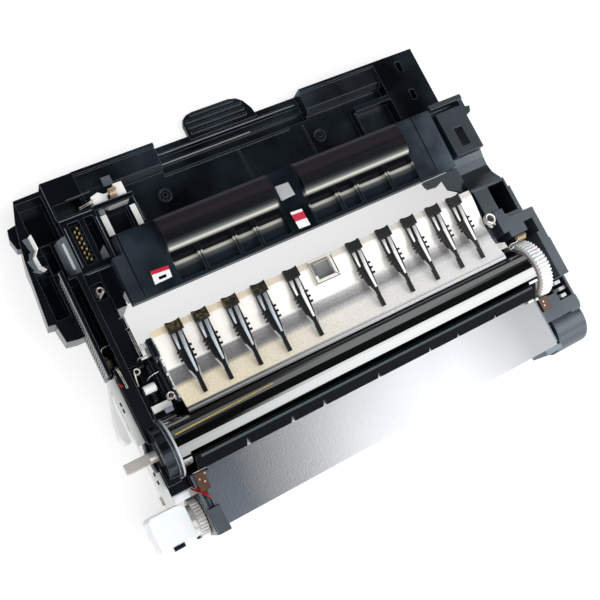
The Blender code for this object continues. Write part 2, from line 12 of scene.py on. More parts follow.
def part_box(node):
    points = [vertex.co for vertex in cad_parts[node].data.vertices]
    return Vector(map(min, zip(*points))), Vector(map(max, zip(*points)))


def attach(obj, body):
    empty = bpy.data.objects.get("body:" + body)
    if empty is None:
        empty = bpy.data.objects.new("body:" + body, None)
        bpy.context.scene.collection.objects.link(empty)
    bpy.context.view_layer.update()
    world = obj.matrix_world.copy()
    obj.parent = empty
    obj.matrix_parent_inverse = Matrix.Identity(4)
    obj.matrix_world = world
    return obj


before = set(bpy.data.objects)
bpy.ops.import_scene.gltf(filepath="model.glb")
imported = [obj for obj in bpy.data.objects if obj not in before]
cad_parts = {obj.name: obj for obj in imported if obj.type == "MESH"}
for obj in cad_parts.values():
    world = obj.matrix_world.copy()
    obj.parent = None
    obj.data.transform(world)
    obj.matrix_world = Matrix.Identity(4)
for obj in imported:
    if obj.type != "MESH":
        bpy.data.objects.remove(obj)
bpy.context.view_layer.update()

bl_info = {
    "name": "Printer drum unit",
    "version": (1, 0, 0),
    "blender": (4, 5, 0),
    "location": "View3D > Sidebar > Drum unit",
    "description": "Finishes, small fittings and a studio for a printer drum unit",
    "category": "Object",
}

MIDDLE_X = -2.6
MIDDLE_Y = 60.3
MM = 0.001
MADE = {}

AXIS_Z = 30.0
COATING_RADIUS = 15.05
FLANGE_HUB = 6.0
LID_FRONT = 75.0
LID_DEPTH = 33.0
LID_TOP = 42.5
LID_RISE = 1.5
NOTCHES = (-80.5, -54.0, -34.5, 0.3, 34.8, 54.5, 81.2)
CLAWS = 10
PALE_CLAWS = 4
# inset and radius of the pale ring that paints the flange rim's white highlight
RIM_INSET = 0.45
RIM_HIGHLIGHT_RADIUS = 0.75
SHARP_ANGLE = math.radians(33.0)

COOL_GLOSS = (0.72, 0.86, 1.0)
WHITE_GLOSS = (1.0, 1.0, 1.0)

FLOOR_DROP = 0.0003
FLOOR_GLOW = 1.36
FLOOR_GLOW_SHARE = 0.5

# brightness of the studio by height angle in degrees: 0 is overhead, positive leans to the front
STUDIO_BANDS = (
    (-180, 0.35), (-90, 0.35), (-80, 0.03), (-66, 0.02), (-62, 0.2), (-37, 0.2), (-33, 0.006), (1.5, 0.006),
    (5, 0.85), (20, 1.0), (46, 0.95), (51, 0.01), (64, 0.01), (68, 1.3), (76, 1.3), (80, 0.35), (180, 0.35))
# the bands slant along X, and the studio is dimmer on the left
SLANT_START = math.radians(-11.0)
SLANT = math.radians(34.0)
LEFT_DIM = 0.26
LEFT_REACH = 0.45
FILL_WIDTH = math.radians(80.0)
FILL_TURN = (math.radians(28.0), math.radians(-36.0), 0.0)

# camera fitted to the photograph
CAMERA_RIGHT = (0.85090392, -0.45115256, 0.26911686)
CAMERA_UP = (0.39205013, 0.88635741, 0.24630721)
CAMERA_BACK = (-0.34965585, -0.10407647, 0.93107942)
CAMERA_PLACE = (-190.2646, -10.3130, 489.2809)
SENSOR_WIDTH = 36.0


def at(x, y, z):
    """Point in the row frame from drum millimetres."""
    return Vector(((x - MIDDLE_X) * MM, (y - MIDDLE_Y) * MM, z * MM))


# sizes and colours that a user would change

class DrumFinishSettings(bpy.types.PropertyGroup):
    plastic: bpy.props.FloatVectorProperty(
        name="Plastic", description="Colour of the black mouldings",
        subtype="COLOR", size=3, min=0.0, max=1.0, default=(0.0045, 0.006, 0.009))
    plastic_roughness: bpy.props.FloatProperty(
        name="Plastic roughness", description="Roughness of the black mouldings",
        subtype="FACTOR", min=0.0, max=1.0, default=0.34)
    coating: bpy.props.FloatVectorProperty(
        name="Drum coating", description="Colour that the drum's coating mirrors",
        subtype="COLOR", size=3, min=0.0, max=1.0, default=(0.262, 0.27, 0.27))
    sheet: bpy.props.FloatVectorProperty(
        name="Guide sheet", description="Colour of the bright guide sheet",
        subtype="COLOR", size=3, min=0.0, max=1.0, default=(0.86, 0.84, 0.8))
    plate: bpy.props.FloatVectorProperty(
        name="Front plate", description="Colour of the satin front plate",
        subtype="COLOR", size=3, min=0.0, max=1.0, default=(0.5, 0.51, 0.53))
    cap: bpy.props.FloatVectorProperty(
        name="White cap", description="Colour of the milky gear cap",
        subtype="COLOR", size=3, min=0.0, max=1.0, default=(0.93, 0.93, 0.95))


class DrumFittingSettings(bpy.types.PropertyGroup):
    wire: bpy.props.FloatProperty(
        name="Spring wire", description="Thickness of the spring wire",
        subtype="DISTANCE", unit="LENGTH", min=0.0003, max=0.002, default=0.00095)
    lead: bpy.props.FloatProperty(
        name="Lead wire", description="Thickness of the insulated lead wires",
        subtype="DISTANCE", unit="LENGTH", min=0.0005, max=0.003, default=0.0011)
    comb_pitch: bpy.props.FloatProperty(
        name="Comb pitch", description="Distance between the fine ribs of the left side wall",
        subtype="DISTANCE", unit="LENGTH", min=0.0006, max=0.004, default=0.0018)
    contact: bpy.props.FloatProperty(
        name="Contact size", description="Room for each gold contact in the socket",
        subtype="DISTANCE", unit="LENGTH", min=0.0004, max=0.002, default=0.0011)


class DrumStageSettings(bpy.types.PropertyGroup):
    floor_size: bpy.props.FloatProperty(
        name="Floor size", description="Width of the pale floor",
        subtype="DISTANCE", unit="LENGTH", min=1.0, max=40.0, default=12.0)
    lens: bpy.props.FloatProperty(
        name="Lens", description="Focal length of the camera in millimetres",
        min=20.0, max=200.0, default=53.9086)
    key: bpy.props.FloatProperty(
        name="Front light", description="Brightness of the wide front light",
        min=0.0, max=10.0, default=3.5)
    fill: bpy.props.FloatProperty(
        name="Fill light", description="Strength of the soft light from above",
        min=0.0, max=10.0, default=1.8)


# node helpers

def set_inputs(node, values):
    """Sets inputs by name; an underscore in a name stands for a space."""
    for label, value in values.items():
        node.inputs[label.replace("_", " ")].default_value = value


def add_node(tree, kind, **values):
    node = tree.nodes.new(kind)
    set_inputs(node, values)
    return node


def join(tree, *rows):
    """Links given as source node, output, target node, input."""
    for source, output, target, name in rows:
        tree.links.new(source.outputs[output], target.inputs[name])


def math_step(tree, operation, *sources):
    """Output of a math node whose inputs are numbers or other outputs."""
    node = tree.nodes.new("ShaderNodeMath")
    node.operation = operation
    for socket, source in zip(node.inputs, sources):
        if isinstance(source, float):
            socket.default_value = source
        else:
            tree.links.new(source, socket)
    return node.outputs[0]


def set_stops(ramp, stops):
    """Fills a colour ramp with pairs of a place and a colour or grey level."""
    while len(ramp.elements) < len(stops):
        ramp.elements.new(0.5)
    for element, (place, color) in zip(ramp.elements, stops):
        element.position = place
        element.color = (*(color if isinstance(color, tuple) else (color,) * 3), 1.0)


# shared node groups

def node_group(name, inputs, outputs):
    group = bpy.data.node_groups.new(name, "ShaderNodeTree")
    for label, value in inputs:
        socket = group.interface.new_socket(label, in_out="INPUT", socket_type="NodeSocketFloat")
        socket.default_value = value
    for label, kind in outputs:
        group.interface.new_socket(label, in_out="OUTPUT", socket_type=kind)
    return group, group.nodes.new("NodeGroupInput"), group.nodes.new("NodeGroupOutput")


def grain_group():
    """Fine moulded grain: a height for bump and a slow mask for gloss changes."""
    group, start, end = node_group(
        "Moulded grain", [("Scale", 900.0), ("Patch Scale", 14.0)],
        [("Height", "NodeSocketFloat"), ("Mask", "NodeSocketFloat")])
    place = add_node(group, "ShaderNodeTexCoord")
    fine = add_node(group, "ShaderNodeTexNoise", Detail=2.0)
    slow = add_node(group, "ShaderNodeTexNoise", Detail=4.0)
    join(group,
         (place, "Object", fine, "Vector"), (place, "Object", slow, "Vector"),
         (start, "Scale", fine, "Scale"), (start, "Patch Scale", slow, "Scale"),
         (fine, "Fac", end, "Height"), (slow, "Fac", end, "Mask"))
    return group


def edge_group():
    """Soft edge: a rounded normal, and a mask that is bright along sharp edges."""
    group, start, end = node_group(
        "Soft edge", [("Radius", 0.0004)],
        [("Normal", "NodeSocketVector"), ("Mask", "NodeSocketFloat")])
    bevel = add_node(group, "ShaderNodeBevel")
    bevel.samples = 6
    flat = add_node(group, "ShaderNodeNewGeometry")
    dot = add_node(group, "ShaderNodeVectorMath")
    dot.operation = "DOT_PRODUCT"
    away = add_node(group, "ShaderNodeMapRange", From_Min=0.995, From_Max=0.8)
    join(group,
         (start, "Radius", bevel, "Radius"), (bevel, "Normal", dot, 0), (flat, "Normal", dot, 1),
         (dot, "Value", away, "Value"), (bevel, "Normal", end, "Normal"), (away, "Result", end, "Mask"))
    return group


def brushed_group():
    """Long fine lines along X, as rolled or ground metal has."""
    group, start, end = node_group(
        "Rolled lines", [("Across", 2600.0), ("Along", 30.0)],
        [("Height", "NodeSocketFloat"), ("Mask", "NodeSocketFloat")])
    place = add_node(group, "ShaderNodeTexCoord")
    stretch = add_node(group, "ShaderNodeCombineXYZ")
    scale = add_node(group, "ShaderNodeVectorMath")
    scale.operation = "MULTIPLY"
    noise = add_node(group, "ShaderNodeTexNoise", Scale=1.0, Detail=3.0)
    slow = add_node(group, "ShaderNodeTexNoise", Scale=22.0)
    join(group,
         (start, "Along", stretch, "X"), (start, "Across", stretch, "Y"), (start, "Across", stretch, "Z"),
         (place, "Object", scale, 0), (stretch, "Vector", scale, 1), (scale, "Vector", noise, "Vector"),
         (place, "Object", slow, "Vector"), (noise, "Fac", end, "Height"), (slow, "Fac", end, "Mask"))
    return group


def smooth_group():
    """Geometry nodes that shade round forms smooth and keep true edges sharp."""
    group = bpy.data.node_groups.new("Smooth round forms", "GeometryNodeTree")
    for way in ("INPUT", "OUTPUT"):
        group.interface.new_socket("Geometry", in_out=way, socket_type="NodeSocketGeometry")
    start = add_node(group, "NodeGroupInput")
    end = add_node(group, "NodeGroupOutput")
    faces = add_node(group, "GeometryNodeSetShadeSmooth")
    faces.domain = "FACE"
    edges = add_node(group, "GeometryNodeSetShadeSmooth", Shade_Smooth=False)
    edges.domain = "EDGE"
    angle = add_node(group, "GeometryNodeInputMeshEdgeAngle")
    sharp = add_node(group, "FunctionNodeCompare")
    sharp.data_type = "FLOAT"
    sharp.operation = "GREATER_THAN"
    sharp.inputs["B"].default_value = SHARP_ANGLE
    join(group,
         (start, 0, faces, "Geometry"), (faces, 0, edges, "Geometry"), (angle, "Unsigned Angle", sharp, "A"),
         (sharp, "Result", edges, "Selection"), (edges, 0, end, 0))
    return group


def shared(name, build):
    found = bpy.data.node_groups.get(name)
    return found or build()


# materials

class Look:
    """A material being built: its nodes, shader, grain and soft edge."""

    def __init__(self, name, color, roughness, metallic=0.0, ior=1.5):
        self.material = bpy.data.materials.new(name)
        self.material.use_nodes = True
        self.tree = self.material.node_tree
        self.shader = self.tree.nodes["Principled BSDF"]
        self.texture = None
        self.edge = None
        self.set(Base_Color=(*color, 1.0), Roughness=roughness, Metallic=metallic, IOR=ior)

    def set(self, **values):
        """Constants on the shader's own inputs."""
        set_inputs(self.shader, values)

    def link(self, source, target):
        self.tree.links.new(source, self.shader.inputs[target])

    def group(self, name, build, **values):
        node = self.tree.nodes.new("ShaderNodeGroup")
        node.node_tree = shared(name, build)
        set_inputs(node, values)
        return node

    def grain(self, scale, patches, radius=None):
        """Moulded grain, with soft edges where a radius is given."""
        self.texture = self.group("Moulded grain", grain_group, Scale=scale, Patch_Scale=patches)
        if radius is not None:
            self.edge = self.group("Soft edge", edge_group, Radius=radius)

    def mask(self):
        """Slow mask of the grain or of the lines."""
        return self.texture.outputs["Mask"]

    def lines(self, across, along):
        return self.group("Rolled lines", brushed_group, Across=across, Along=along)

    def spread(self, source, low, high, start=0.3, stop=0.7):
        """Maps the middle of a mask onto a range of values."""
        step = add_node(self.tree, "ShaderNodeMapRange",
                        From_Min=start, From_Max=stop, To_Min=low, To_Max=high)
        self.tree.links.new(source, step.inputs["Value"])
        return step.outputs["Result"]

    def gloss(self, low, high):
        """Roughness that drifts with the slow mask."""
        self.link(self.spread(self.mask(), low, high), "Roughness")

    def bump(self, strength, distance):
        bump = add_node(self.tree, "ShaderNodeBump", Strength=strength, Distance=distance)
        join(self.tree, (self.texture, "Height", bump, "Height"))
        if self.edge:
            join(self.tree, (self.edge, "Normal", bump, "Normal"))
        self.link(bump.outputs["Normal"], "Normal")

    def ramp(self, axis, stops):
        """Colours at set places along an object axis, as (millimetres, colour) pairs."""
        middle = MIDDLE_X if axis == "X" else MIDDLE_Y
        first = stops[0][0]
        last = stops[-1][0]
        place = add_node(self.tree, "ShaderNodeTexCoord")
        split = add_node(self.tree, "ShaderNodeSeparateXYZ")
        span = add_node(self.tree, "ShaderNodeMapRange",
                        From_Min=(first - middle) * MM, From_Max=(last - middle) * MM)
        ramp = add_node(self.tree, "ShaderNodeValToRGB")
        join(self.tree,
             (place, "Object", split, 0), (split, axis, span, "Value"), (span, "Result", ramp, "Fac"))
        set_stops(ramp.color_ramp, [((where - first) / (last - first), color) for where, color in stops])
        return ramp.outputs["Color"]

    def blend(self, factor, first, second, kind="MIX"):
        """Mix of two colours or outputs."""
        mix = self.tree.nodes.new("ShaderNodeMix")
        mix.data_type = "RGBA"
        mix.blend_type = kind
        for source, socket in ((factor, "Factor"), (first, "A"), (second, "B")):
            if isinstance(source, tuple):
                mix.inputs[socket].default_value = (*source, 1.0)
            elif isinstance(source, float):
                mix.inputs[socket].default_value = source
            else:
                self.tree.links.new(source, mix.inputs[socket])
        return mix.outputs["Result"]

    def painted_edge_highlight(self, tone, color, kind="MIX"):
        """Base colour that changes along the edges, where the edge colour is a painted highlight."""
        self.link(self.blend(self.edge.outputs["Mask"], tone, color, kind), "Base Color")

    def finish(self, low, high, strength, distance=0.00006):
        """Last steps of most looks: drifting gloss and the grain's bump."""
        self.gloss(low, high)
        self.bump(strength, distance)
        return self.material


def moulded_plastic(name, color, roughness, grain=0.12, radius=0.0004, painted_edge_highlight=None, tint=COOL_GLOSS, ior=1.5):
    look = Look(name, color, roughness, ior=ior)
    look.set(Specular_Tint=(*tint, 1.0))
    look.grain(1400.0, 16.0, radius)
    # where an edge colour is given, it is a painted highlight along the sharp edges
    if painted_edge_highlight is not None:
        look.painted_edge_highlight(color, painted_edge_highlight)
    return look.finish(roughness - 0.06, roughness + 0.08, grain)


def fine_plastic(name, color, roughness, grain=0.02, **options):
    """Plastic of small pieces, whose edges are too fine to soften."""
    return moulded_plastic(name, color, roughness, grain, 0.0001, **options)


def rolled_metal(name, color, roughness, lines=0.1, metallic=0.3):
    look = Look(name, color, roughness, metallic=metallic)
    look.texture = look.lines(2600.0, 30.0)
    return look.finish(roughness - 0.04, roughness + 0.05, lines, 0.00004)


def coating_material(color):
    """Mirror-like photoconductor coating over aluminium."""
    look = Look("Drum coating", color, 0.045, metallic=1.0)
    look.texture = look.lines(900.0, 4.0)
    look.gloss(0.035, 0.06)
    return look.material


def cloudy_plastic(name, dark, light):
    """Polished plastic whose colour drifts slowly between a dark and a light tone, with a painted highlight
    colour along its edges.
    """
    look = Look(name, dark, 0.2, ior=1.4)
    look.grain(1400, 24, 0.0005)
    cloud = look.spread(look.mask(), 0, 1, 0.36, 0.62)
    # the lighter edge colour is a painted highlight
    look.painted_edge_highlight(look.blend(cloud, dark, light), (0.13, 0.15, 0.175))
    return look.finish(0.16, 0.3, 0.03)


def lid_material():
    """Black lid with painted light: painted highlight lines and black painted shade bands along the humps, a
    dull brownish painted reflection on the crowns, and cloudy blue panels whose painted reflection grows
    lighter towards both ends.
    """
    look = Look("Waste lid plastic", (0.006, 0.009, 0.013), 0.22, ior=1.4)
    look.set(Specular_IOR_Level=0.06)
    look.grain(1400, 30, 0.0005)
    # painted reflection along X: the panels grow lighter towards both ends, most at the right
    panel_painted_reflection = look.ramp("X", (
        (-105, (0.024, 0.032, 0.04)), (-88, (0.014, 0.02, 0.027)), (-60, (0.008, 0.0125, 0.018)),
        (60, (0.01, 0.015, 0.021)), (82, (0.03, 0.041, 0.052)), (105, (0.06, 0.078, 0.1))))
    clouds = look.spread(look.mask(), 0.25, 1.4, 0.35, 0.65)
    panel_painted_reflection = look.blend(1.0, panel_painted_reflection, clouds, "MULTIPLY")
    # painted light across the humps along Y: black painted shade bands, a dull brownish painted reflection on
    # the crowns, and painted highlight lines round Y 84 and 91.6
    black = (0.003, 0.0035, 0.0045)
    crown = (0.021, 0.018, 0.021)
    hump_painted_light = look.ramp("Y", (
        (74, (0.01, 0.015, 0.021)), (80.5, (0.012, 0.017, 0.023)), (83.2, (0.09, 0.095, 0.095)),
        (84.2, (0.46, 0.45, 0.4)), (85.2, (0.42, 0.41, 0.37)), (85.7, black), (90.2, black),
        (91, (0.3, 0.3, 0.27)), (91.6, (0.62, 0.61, 0.55)), (92.5, (0.16, 0.17, 0.165)),
        (94, (0.03, 0.034, 0.036)), (95.6, black), (98.6, black), (101.6, crown),
        (108, crown), (114, (0.02, 0.018, 0.02))))
    ends = look.ramp("X", (
        (-76, 0), (-75, 1), (-10, 1), (-9, 0), (7, 0), (8, 1), (77.4, 1), (78.4, 0)))
    # sharp edges get a lighter painted highlight colour
    look.painted_edge_highlight(look.blend(ends, panel_painted_reflection, hump_painted_light), (0.03, 0.037, 0.046), "LIGHTEN")
    return look.finish(0.18, 0.3, 0.03)


def satin_material():
    """Satin plastic of the right end, with painted light and shade along Y: blue grey at the rear, black at
    the saddle, lighter in front.
    """
    look = Look("Satin black plastic", (0.02, 0.026, 0.034), 0.36, ior=1.75)
    look.set(Specular_Tint=(0.78, 0.9, 1, 1))
    look.grain(1400, 46, 0.0005)
    # painted light and shade along Y: lightest in front, a medium band over Y 6 to 34, and painted shade that
    # makes the saddle near black
    along = look.ramp("Y", (
        (-50, (0.05, 0.062, 0.076)), (-34, (0.045, 0.055, 0.068)), (-22, (0.01, 0.013, 0.017)),
        (6, (0.034, 0.042, 0.052)), (34, (0.034, 0.042, 0.052)), (46, (0.008, 0.01, 0.014)),
        (62, (0.005, 0.0065, 0.009)), (80, (0.009, 0.0125, 0.018)), (120, (0.014, 0.02, 0.028))))
    dark = look.blend(1.0, along, (0.4, 0.4, 0.42), "MULTIPLY")
    # sharp edges get a lighter painted highlight colour
    look.painted_edge_highlight(look.blend(look.mask(), dark, along), (0.09, 0.108, 0.13))
    return look.finish(0.28, 0.42, 0.1)


def sheet_material(color):
    """Bright sheet: mirror bright behind, a grained bend with a painted grey reflection band, and cream
    towards the drum.
    """
    look = Look("Bright rolled sheet", color, 0.28, metallic=0.15)
    look.grain(1500, 40)
    lip = (0.035, 0.034, 0.038)
    # both ramps paint a grey reflection band round Y 28 to 35
    left = look.ramp("Y", (
        (10, lip), (12.2, lip), (12.5, (0.24, 0.23, 0.23)), (13.1, (0.24, 0.23, 0.23)), (13.4, lip),
        (14.2, lip), (14.7, (0.98, 0.86, 0.64)), (25, (0.98, 0.87, 0.66)), (27.6, (0.17, 0.17, 0.175)),
        (33.4, (0.2, 0.2, 0.205)), (34.8, (0.17, 0.17, 0.175)), (36, color), (53.2, color),
        (53.6, (0.84, 0.72, 0.52)), (58, (0.85, 0.74, 0.55))))
    right = look.ramp("Y", (
        (10, (0.16, 0.16, 0.17)), (12.2, (0.5, 0.5, 0.52)), (12.6, (0.6, 0.6, 0.62)),
        (13.4, (0.2, 0.2, 0.21)), (14.7, 0.97), (25, 0.98), (30, (0.26, 0.26, 0.27)), (34, 0.4),
        (38, color), (53.2, color), (53.6, (0.7, 0.68, 0.64)), (58, (0.75, 0.73, 0.7))))
    across = look.ramp("X", ((-100, 0), (-60, 0.12), (-20, 0.5), (20, 0.85), (105, 1)))
    tone = look.blend(across, left, right)
    speckle = look.spread(look.lines(1100, 1100).outputs["Height"], 0.76, 1.28)
    rough = look.ramp("Y", (
        (10, 0.4), (25, 0.45), (28, 0.9), (34.6, 0.9), (36.5, 0.04), (53, 0.04), (54, 0.4),
        (58, 0.4)))
    look.link(look.blend(rough, tone, speckle, "MULTIPLY"), "Base Color")
    look.bump(0.12, 0.00005)
    return look.material


def claw_material():
    """Black claws whose caps have a brown and gold mottle, with a painted highlight colour along their edges.
    """
    black = (0.003, 0.004, 0.005)
    look = Look("Claw plastic", black, 0.3)
    look.set(Specular_IOR_Level=0.35)
    look.grain(900, 620, 0.00025)
    gold = add_node(look.tree, "ShaderNodeValToRGB")
    set_stops(gold.color_ramp, ((0.46, (0.008, 0.007, 0.005)), (0.62, (0.11, 0.085, 0.035))))
    join(look.tree, (look.texture, "Mask", gold, "Fac"))
    cap = look.ramp("Y", ((51, 0), (51.9, 0), (52.3, 1), (58, 1)))
    # the lighter colour along the edges is a painted highlight
    body = look.blend(look.edge.outputs["Mask"], black, (0.06, 0.066, 0.075))
    side = look.ramp("X", ((-100, 0.1), (-50, 0.3), (-26, 0.9), (0, 1), (110, 1)))
    crown = look.blend(side, gold.outputs["Color"], (0.008, 0.009, 0.01))
    look.link(look.blend(cap, body, crown), "Base Color")
    look.bump(0.1, 0.00005)
    return look.material


def milky_material(color):
    """Soft translucent plastic."""
    look = Look("Milky plastic", color, 0.35)
    look.grain(700, 20, 0.0008)
    look.set(Subsurface_Weight=0.35, Subsurface_Scale=0.004)
    return look.finish(0.3, 0.42, 0.04, 0.00005)


def plate_material(color):
    """Satin aluminium with a fine orange-peel grain, and a painted reflection along X that is dark blue grey
    at the left end and lightest in the middle.
    """
    look = Look("Satin front plate", color, 0.3, metallic=0.9)
    look.grain(1250, 12)
    # painted reflection: darker and bluer at the left end, lightest in the middle, darker again at the right
    blue = tuple(c * k for c, k in zip(color, (0.35, 0.39, 0.44)))
    steps = ((-82, 0.56), (-64, 0.76), (-45, 1), (-26, 1.16), (20, 1.24), (46, 1.12),
             (74, 0.8), (92, 0.6), (106, 0.56))
    painted_reflection_tones = [(x, tuple(min(c * k, 0.9) for c in color)) for x, k in steps]
    look.link(look.ramp("X", ((-106, blue), (-94, blue), *painted_reflection_tones)), "Base Color")
    return look.finish(0.27, 0.36, 0.5, 0.00012)


def board_material():
    """Brown lacquered board with a slow change of tone."""
    look = Look("Brown board", (0.075, 0.032, 0.016), 0.4)
    look.grain(600, 160)
    tone = look.blend(look.mask(), (0.035, 0.014, 0.007), (0.13, 0.055, 0.026))
    look.link(tone, "Base Color")
    return look.material


def make_materials(settings):
    MADE.update({
        # edge colours given below are painted highlights along the sharp edges
        "plastic": moulded_plastic(
            "Black moulded plastic", tuple(settings.plastic), settings.plastic_roughness,
            painted_edge_highlight=(0.02, 0.026, 0.036), ior=2.6),
        "deep": moulded_plastic("Deep black plastic", (0.003, 0.0042, 0.006), 0.2, 0.05,
                                painted_edge_highlight=(0.12, 0.14, 0.165), ior=1.6),
        "tray": cloudy_plastic("Cloudy tray plastic", (0.0016, 0.0024, 0.0036), (0.0135, 0.021, 0.03)),
        "satin": satin_material(),
        "coating": coating_material(tuple(settings.coating)),
        "lid": lid_material(),
        "claw": claw_material(),
        # pale colour for pieces of painted light and shade: dim highlight lines, the lit curved wall, and the
        # shade beside the curved strip
        "lip": moulded_plastic("Pale painted light and shade", (0.11, 0.125, 0.145), 0.3, 0.05, ior=1.6),
        "grey": moulded_plastic("Grey insert plastic", (0.2, 0.22, 0.25), 0.4, 0.06),
        # bright colour standing in for highlights: a painted glint on the curved wall and on the latch teeth
        "glint": fine_plastic("Painted bright glint", (0.55, 0.58, 0.6), 0.2, tint=WHITE_GLOSS),
        "white": moulded_plastic("White gear plastic", (0.92, 0.92, 0.91), 0.4, 0.05, tint=WHITE_GLOSS),
        "milky": milky_material(tuple(settings.cap)),
        # dark flange whose white edge colour is a painted highlight on its rim
        "pale": moulded_plastic("Black flange plastic with painted edge highlight", (0.016, 0.02, 0.026), 0.3, 0.05, 0.0006,
                                painted_edge_highlight=(0.8, 0.82, 0.85), ior=1.6),
        "steel": rolled_metal("Ground steel", (0.8, 0.75, 0.7), 0.24, 0.2, 0.5),
        "gear": rolled_metal("Cut steel gear", (0.82, 0.81, 0.79), 0.3, 0.03, 0.35),
        "spring": rolled_metal("Spring wire steel", (0.72, 0.69, 0.64), 0.2, 0.03, 0.6),
        "tan": rolled_metal("Copper tinned spring", (0.62, 0.47, 0.32), 0.3, 0.03, 0.6),
        "gold": rolled_metal("Gold contact", (0.8, 0.56, 0.2), 0.25, 0.02, 0.45),
        "sheet": sheet_material(tuple(settings.sheet)),
        "clear_white": moulded_plastic("Bright white insert", (0.9, 0.9, 0.9), 0.35, 0.03, 0.0002,
                                       tint=WHITE_GLOSS),
        # yellow of a painted reflection line on the drum
        "gold_line": fine_plastic("Yellow painted reflection line", (0.55, 0.4, 0.09), 0.4, tint=WHITE_GLOSS),
        "spot": rolled_metal("Solder spot", (0.8, 0.66, 0.5), 0.3, 0.02, 0.5),
        "trim": rolled_metal("Folded bright edge", (0.86, 0.85, 0.82), 0.25),
        "plate": plate_material(tuple(settings.plate)),
        "zinc": rolled_metal("Zinc plate", (0.8, 0.82, 0.8), 0.42, 0.06, 0.55),
        "rubber": moulded_plastic("Roller rubber", (0.012, 0.012, 0.013), 0.5, 0.2),
        "board": board_material(),
        "red": moulded_plastic("Red lead", (0.3, 0.006, 0.012), 0.3, 0.02, tint=WHITE_GLOSS),
        "pocket": cloudy_plastic("Pocket floor", (0.12, 0.125, 0.125), (0.36, 0.37, 0.37)),
        "fold": rolled_metal("Pocket folds", (0.09, 0.09, 0.085), 0.45, 0.3, 0.2),
        "claw_pale": fine_plastic("Pale claw bars", (0.46, 0.5, 0.54), 0.25, 0.05),
        "claw_film": fine_plastic("Claw wings", (0.4, 0.4, 0.39), 0.3, 0.05),
        # thin highlight lines painted along the rims of the wells
        "rim": fine_plastic("Painted rim highlight", (0.17, 0.2, 0.23), 0.3),
        # pale colour that paints highlights on the comb's ribs and along the tray's rails
        "rail": fine_plastic("Painted rail highlight", (0.3, 0.31, 0.3), 0.3),
        # grey colour that paints the highlight along the notched strip's top edge
        "film": fine_plastic("Painted grey edge highlight", (0.05, 0.062, 0.066), 0.3, ior=1.3),
        "tongue": rolled_metal("Plate tongue", (0.72, 0.73, 0.75), 0.35, 0.04),
        "tape": fine_plastic("Clear tape", (0.42, 0.44, 0.45), 0.2, 0.3, tint=WHITE_GLOSS, ior=1.9),
        "label_white": fine_plastic("Label white", (0.8, 0.8, 0.8), 0.4, tint=WHITE_GLOSS),
        "label_red": fine_plastic("Label red", (0.5, 0.01, 0.04), 0.35, tint=WHITE_GLOSS),
        "strip": moulded_plastic("Notched strip film", (0.003, 0.0036, 0.0045), 0.35, 0.03,
                                 painted_edge_highlight=(0.05, 0.055, 0.06), ior=1.15),
    })


# mesh helpers

def finish_piece(name, bm, material, body="frame", smooth=False):
    """Turns a bmesh in drum millimetres into a piece that rides on a body."""
    bmesh.ops.recalc_face_normals(bm, faces=bm.faces)
    shift = Matrix.Translation((-MIDDLE_X, -MIDDLE_Y, 0))
    bmesh.ops.transform(bm, matrix=Matrix.Scale(MM, 4) @ shift, verts=bm.verts)
    mesh = bpy.data.meshes.new(name)
    bm.to_mesh(mesh)
    bm.free()
    if smooth:
        for face in mesh.polygons:
            face.use_smooth = True
    piece = bpy.data.objects.new(name, mesh)
    bpy.context.scene.collection.objects.link(piece)
    mesh.materials.append(MADE[material])
    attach(piece, body)


def make_piece(add, name, material, rows, body="frame", smooth=False):
    """Piece of like shapes: the shape's helper is called once for each row of values."""
    bm = bmesh.new()
    for row in rows:
        add(bm, *row)
    finish_piece(name, bm, material, body, smooth)


def add_block(bm, low, high, chamfer):
    """Box between two corners with chamfered edges."""
    verts = bmesh.ops.create_cube(bm, size=1)["verts"]
    size = [h - l for l, h in zip(low, high)]
    middle = [(h + l) / 2 for l, h in zip(low, high)]
    for v in verts:
        v.co = Vector([c * s + m for c, s, m in zip(v.co, size, middle)])
    edges = list(dict.fromkeys(e for v in verts for e in v.link_edges))
    bmesh.ops.bevel(bm, geom=edges, offset=min(chamfer, min(size) * 0.3),
                    offset_type="OFFSET", segments=1, profile=0.5, affect="EDGES")


def close_sides(bm, low, high):
    """Walls between two rings of vertices."""
    count = len(low)
    for i in range(count):
        j = (i + 1) % count
        bm.faces.new((low[i], low[j], high[j], high[i]))


def add_prism(bm, outline, z0, z1):
    """Upright prism over an outline of (x, y) points."""
    low = [bm.verts.new((x, y, z0)) for x, y in outline]
    high = [bm.verts.new((x, y, z1)) for x, y in outline]
    bm.faces.new(list(reversed(low)))
    bm.faces.new(high)
    close_sides(bm, low, high)


def add_plate(bm, corners, thick):
    """Thin plate over any four or more corners, thickened along its normal."""
    points = [Vector(p) for p in corners]
    normal = (points[1] - points[0]).cross(points[-1] - points[0]).normalized()
    if normal.z < 0:
        normal = -normal
    low = [bm.verts.new(p) for p in points]
    high = [bm.verts.new(p + normal * thick) for p in points]
    bm.faces.new(low)
    bm.faces.new(list(reversed(high)))
    for i in range(len(points)):
        j = (i + 1) % len(points)
        bm.faces.new((low[j], low[i], high[i], high[j]))


def add_tube(bm, points, radius, sides=8):
    """Round wire along a line of points, with closed ends."""
    points = [Vector(p) for p in points]
    last = len(points) - 1
    up = Vector((0.0, 0.0, 1.0))
    rings = []
    for i, point in enumerate(points):
        along = (points[min(i + 1, last)] - points[max(i - 1, 0)]).normalized()
        if abs(along.dot(up)) > 0.97:
            up = Vector((1.0, 0.0, 0.0))
        side = along.cross(up).normalized()
        up = side.cross(along).normalized()
        turns = [2.0 * math.pi * k / sides for k in range(sides)]
        rings.append([bm.verts.new(point + side * math.cos(t) * radius + up * math.sin(t) * radius)
                      for t in turns])
    for a, b in zip(rings, rings[1:]):
        close_sides(bm, a, b)
    bm.faces.new(list(reversed(rings[0])))
    bm.faces.new(rings[-1])


